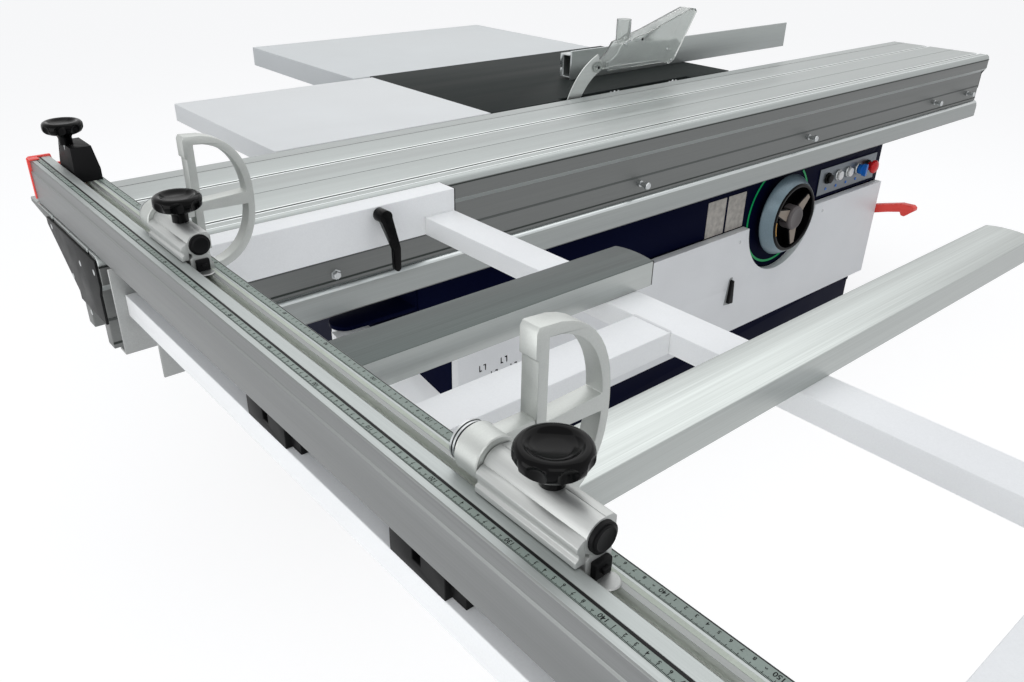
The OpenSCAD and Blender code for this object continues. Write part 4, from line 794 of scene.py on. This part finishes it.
# A drawn body shows faint lines along its length and little else.
drawn_alloy = surface("drawn aluminium body", "#b9bbb9", 0.46, 0.7, 0.08, (1, 0.02, 1),
                      fine=700, cloud=30, grain=0.12)


def bulge(x, z, half_x, half_z, start, end, steps=20):
    """Points on a full-sided half oval about x, z, which make the arms' D."""
    points = []
    for i in range(steps + 1):
        angle = math.radians(start + (end - start) * i / steps)
        c, s = math.cos(angle), math.sin(angle)
        points.append((x + half_x * math.copysign(abs(c) ** 0.85, c),
                       z + half_z * math.copysign(abs(s) ** 0.85, s)))
    return points


def on_both(piece, name, material, body, smooth=32, node=""):
    """Settles a piece on the first stop and a copy of it on the second. Where node is given, they
    stand for that node of their own stop."""
    pick(piece)
    bpy.ops.object.duplicate()
    copy = bpy.context.active_object
    copy.location = (0, second_y / 1000, 0)
    bpy.ops.object.transform_apply(location=True, rotation=True, scale=True)
    for number, part in (("_1", piece), ("_2", copy)):
        settle(part, name + number, material, body + number, smooth)
        if node:
            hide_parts(node + number)


# x is the axis of the stops' bodies, y the middle of the first one, and second_y the way from
# it to the second. The bodies are 120 mm long.
x, knob_y, _ = middle_of("stop_knob_1")
y = knob_y + 6
second_y = middle_of("stop_knob_2")[1] - knob_y
half, end_face = 59.8, 60.3
for number, place_y in (("1", y), ("2", y + second_y)):
    dress("stop_body_" + number, drawn_alloy, 0.8, 2, [
        (lambda centre, normal, end=place_y - end_face: centre.y < end, dull_black),
        (lambda centre, normal: centre.z < deck_z - 1, dull_black)])
on_both(hand_knob("stop_knob_1", 16), "stop_knob_cap", phenolic, "knob", 50, "stop_knob")

# Stop arms. The D is cast with its neck and hub. A steel pin through the hub turns in a bore
# of the stop's body.
pin_z = 970.3
to_rear = (0, 1, 0)
post, foot, top, web = x + 46, 874, 1079, 976
face = y + 63.5
outer = bulge(post + 2, web, 90, top - web, 78, -78) + [
    (post, foot), (post, top - 32), (post - 3, top - 30), (post - 3, top - 5), (post, top)]
upper = ([(post + 12, web + 7)] + bulge(post + 2, web, 79, top - web - 12, 4, 76, 12)
         + [(post + 12, top - 13)])
lower = ([(post + 12, web - 7), (post + 12, foot + 14)]
         + bulge(post + 2, web, 79, top - web - 12, -76, -4, 12))
d_plate = rounded(plate([outer, upper, lower], "XZ", face, face + 22), 1.6)
on_both(d_plate, "stop_arm_plate", blasted, "arm", node="stop_arm")
neck = bar((x, face + 1, 962), (post + 2, face + 21, 990), 3)
on_both(neck, "stop_arm_neck", blasted, "arm")
hub = turned((x, y + 60.8, pin_z), to_rear,
             [(15, 0), (22, 0), (23, 1), (23, 29), (22, 30), (6, 30)], 64)
on_both(hub, "stop_arm_hub", blasted, "arm")
pin = turned((x, y + 31, pin_z), to_rear, [(5.5, 0), (6, 1), (6, 60), (5, 61)], 32)
on_both(pin, "stop_arm_pin", bright_steel, "arm")
washers = turned((x, y + 90.8, pin_z), to_rear, [
    (8, 0), (20, 0), (20, 2), (16, 2.2), (16, 3.6), (20, 3.8), (20, 6), (16, 6.2), (16, 7.6),
    (20, 7.8), (20, 10), (17, 11), (9, 11), (8.5, 13), (3, 13.4)], 64)
on_both(washers, "stop_washers", bright_steel, "arm")
rubber_ring = turned((x, y + 93.2, pin_z), to_rear, [(15, 0), (18.4, 0), (18.4, 1), (15, 1)], 64)
on_both(rubber_ring, "stop_rubber", dull_black, "arm")

# Stop trim. A black plug and key close the body's end, a ribbed flank and a sloped shoulder run
# along it, and a sheet washer lies in front on the fence's deck.
plug = turned((x, y - 63.6, pin_z), to_front, [(12, 0), (12, 1.6), (10.5, 2.6), (9, 2), (1, 1.8)])
on_both(plug, "stop_plug", dull_black, "stop")
key = bar((x - 9, y - 66, 934), (x + 9, y - half, 950), 1.2)
on_both(key, "stop_key", dull_black, "stop")
key_head = bar((x - 4, y - 70, 940), (x + 4, y - 65.5, 945), 1)
on_both(key_head, "stop_key_head", dull_black, "stop")
ribbed = [(-15, 951.2), (-25, 951.2), (-25, 957), (-22, 959), (-22, 963), (-24, 965), (-24, 970),
          (-19, 974), (-15, 975)]
sloped = [(4, 986.2), (13, 985), (16.6, 981), (16.6, 961), (11, 961)]
for name, outline in (("stop_flank", ribbed), ("stop_shoulder", sloped)):
    trim = plate([[(x + u, z) for u, z in outline]], "XZ", y - half, y + half)
    on_both(rounded(trim, 0.6), name, drawn_alloy, "stop")
washer = turned((x, y - 70, deck_z + 0.5), up, [(4, 0), (10, 0), (11, 0.8), (10, 1.8), (4, 2)])
on_both(washer, "stop_washer", bare_sheet, "stop")

# Support arm. A white box tube that swings on the cabinet's bracket, with a bright inner tube
# and a rubber roller under the frame.
dress("swing_arm", white_coat, 2)
dress("inner_arm", bright_steel, 1)
dress("arm_roller", dull_black, 2)

# Saw unit. Cast cradles and housings with a sand-cast skin, steel arbors and blades, an
# enamelled motor and a rubber belt. It hangs in the cabinet on its two cradles.
# Sand leaves the iron coarse and dull, with grains about 3 mm wide.
sand_cast = surface("cast iron", "#55595a", 0.6, 0.3, 0.2, fine=300, cloud=10, grain=0.4)
for node in ("tilt_cradles", "tilt_frame", "arbor_housing", "scoring_unit"):
    dress(node, sand_cast, 1)
for node in ("arbor", "saw_blade", "scoring_blade", "motor_pulley"):
    dress(node, bright_steel)
dress("riving_knife", extruded("pale ground knife", "#c2c6c4", 0.35))
dress("motor", coat("grey-blue enamel", "#4a5a66", 0.35), 1)
dress("drive_belt", dull_black)

# Guard hood. A pale translucent polycarbonate hood over the blade, bolted to the riving knife,
# with small screws along its seams. Handling has clouded the plastic and left faint smears.
hood_plastic = surface("pale polycarbonate", "#dfe2e0", 0.12, 0, 0.05, fine=300, cloud=14)
tune(hood_plastic, ("Transmission Weight", 0.86), ("IOR", 1.12))
dress("guard_hood", hood_plastic, 3, 3)
hood_side = corners("guard_hood")[0][1]
pan_head = turned(origin, to_front, [(4, 0), (4, 1), (3, 2), (1.2, 2.2), (1, 1.4)], 24)
seam_y = hood_side - 0.2
screw_places = [(-87, -10, 943), (6, seam_y, 1002), (76, seam_y, 1008), (214, seam_y, 936),
                (190, seam_y, 970)]
for number, screw in enumerate(copies(pan_head, screw_places)):
    finish = dull_black if number in (0, 2) else bright_steel
    settle(screw, "hood_screw_%d" % number, finish, "guard")

# Rip fence. An anodised profile on a cast carrier that slides on a round ground bar, with a
# clamping lever of polished black phenolic.
dress("rip_rail", bright_steel, 0.6)
dress("rip_carrier", sand_cast, 2)
# Its faces that look up or along X take a lighter copy of the silver than those along Y, as painted light.
dress("rip_fence", silver_painted_light, 0.8, 2, [
    (lambda centre, normal: normal.z > 0.7 or abs(normal.x) > 0.7, silver_painted_highlight)])
dress("rip_lever", phenolic, 1)
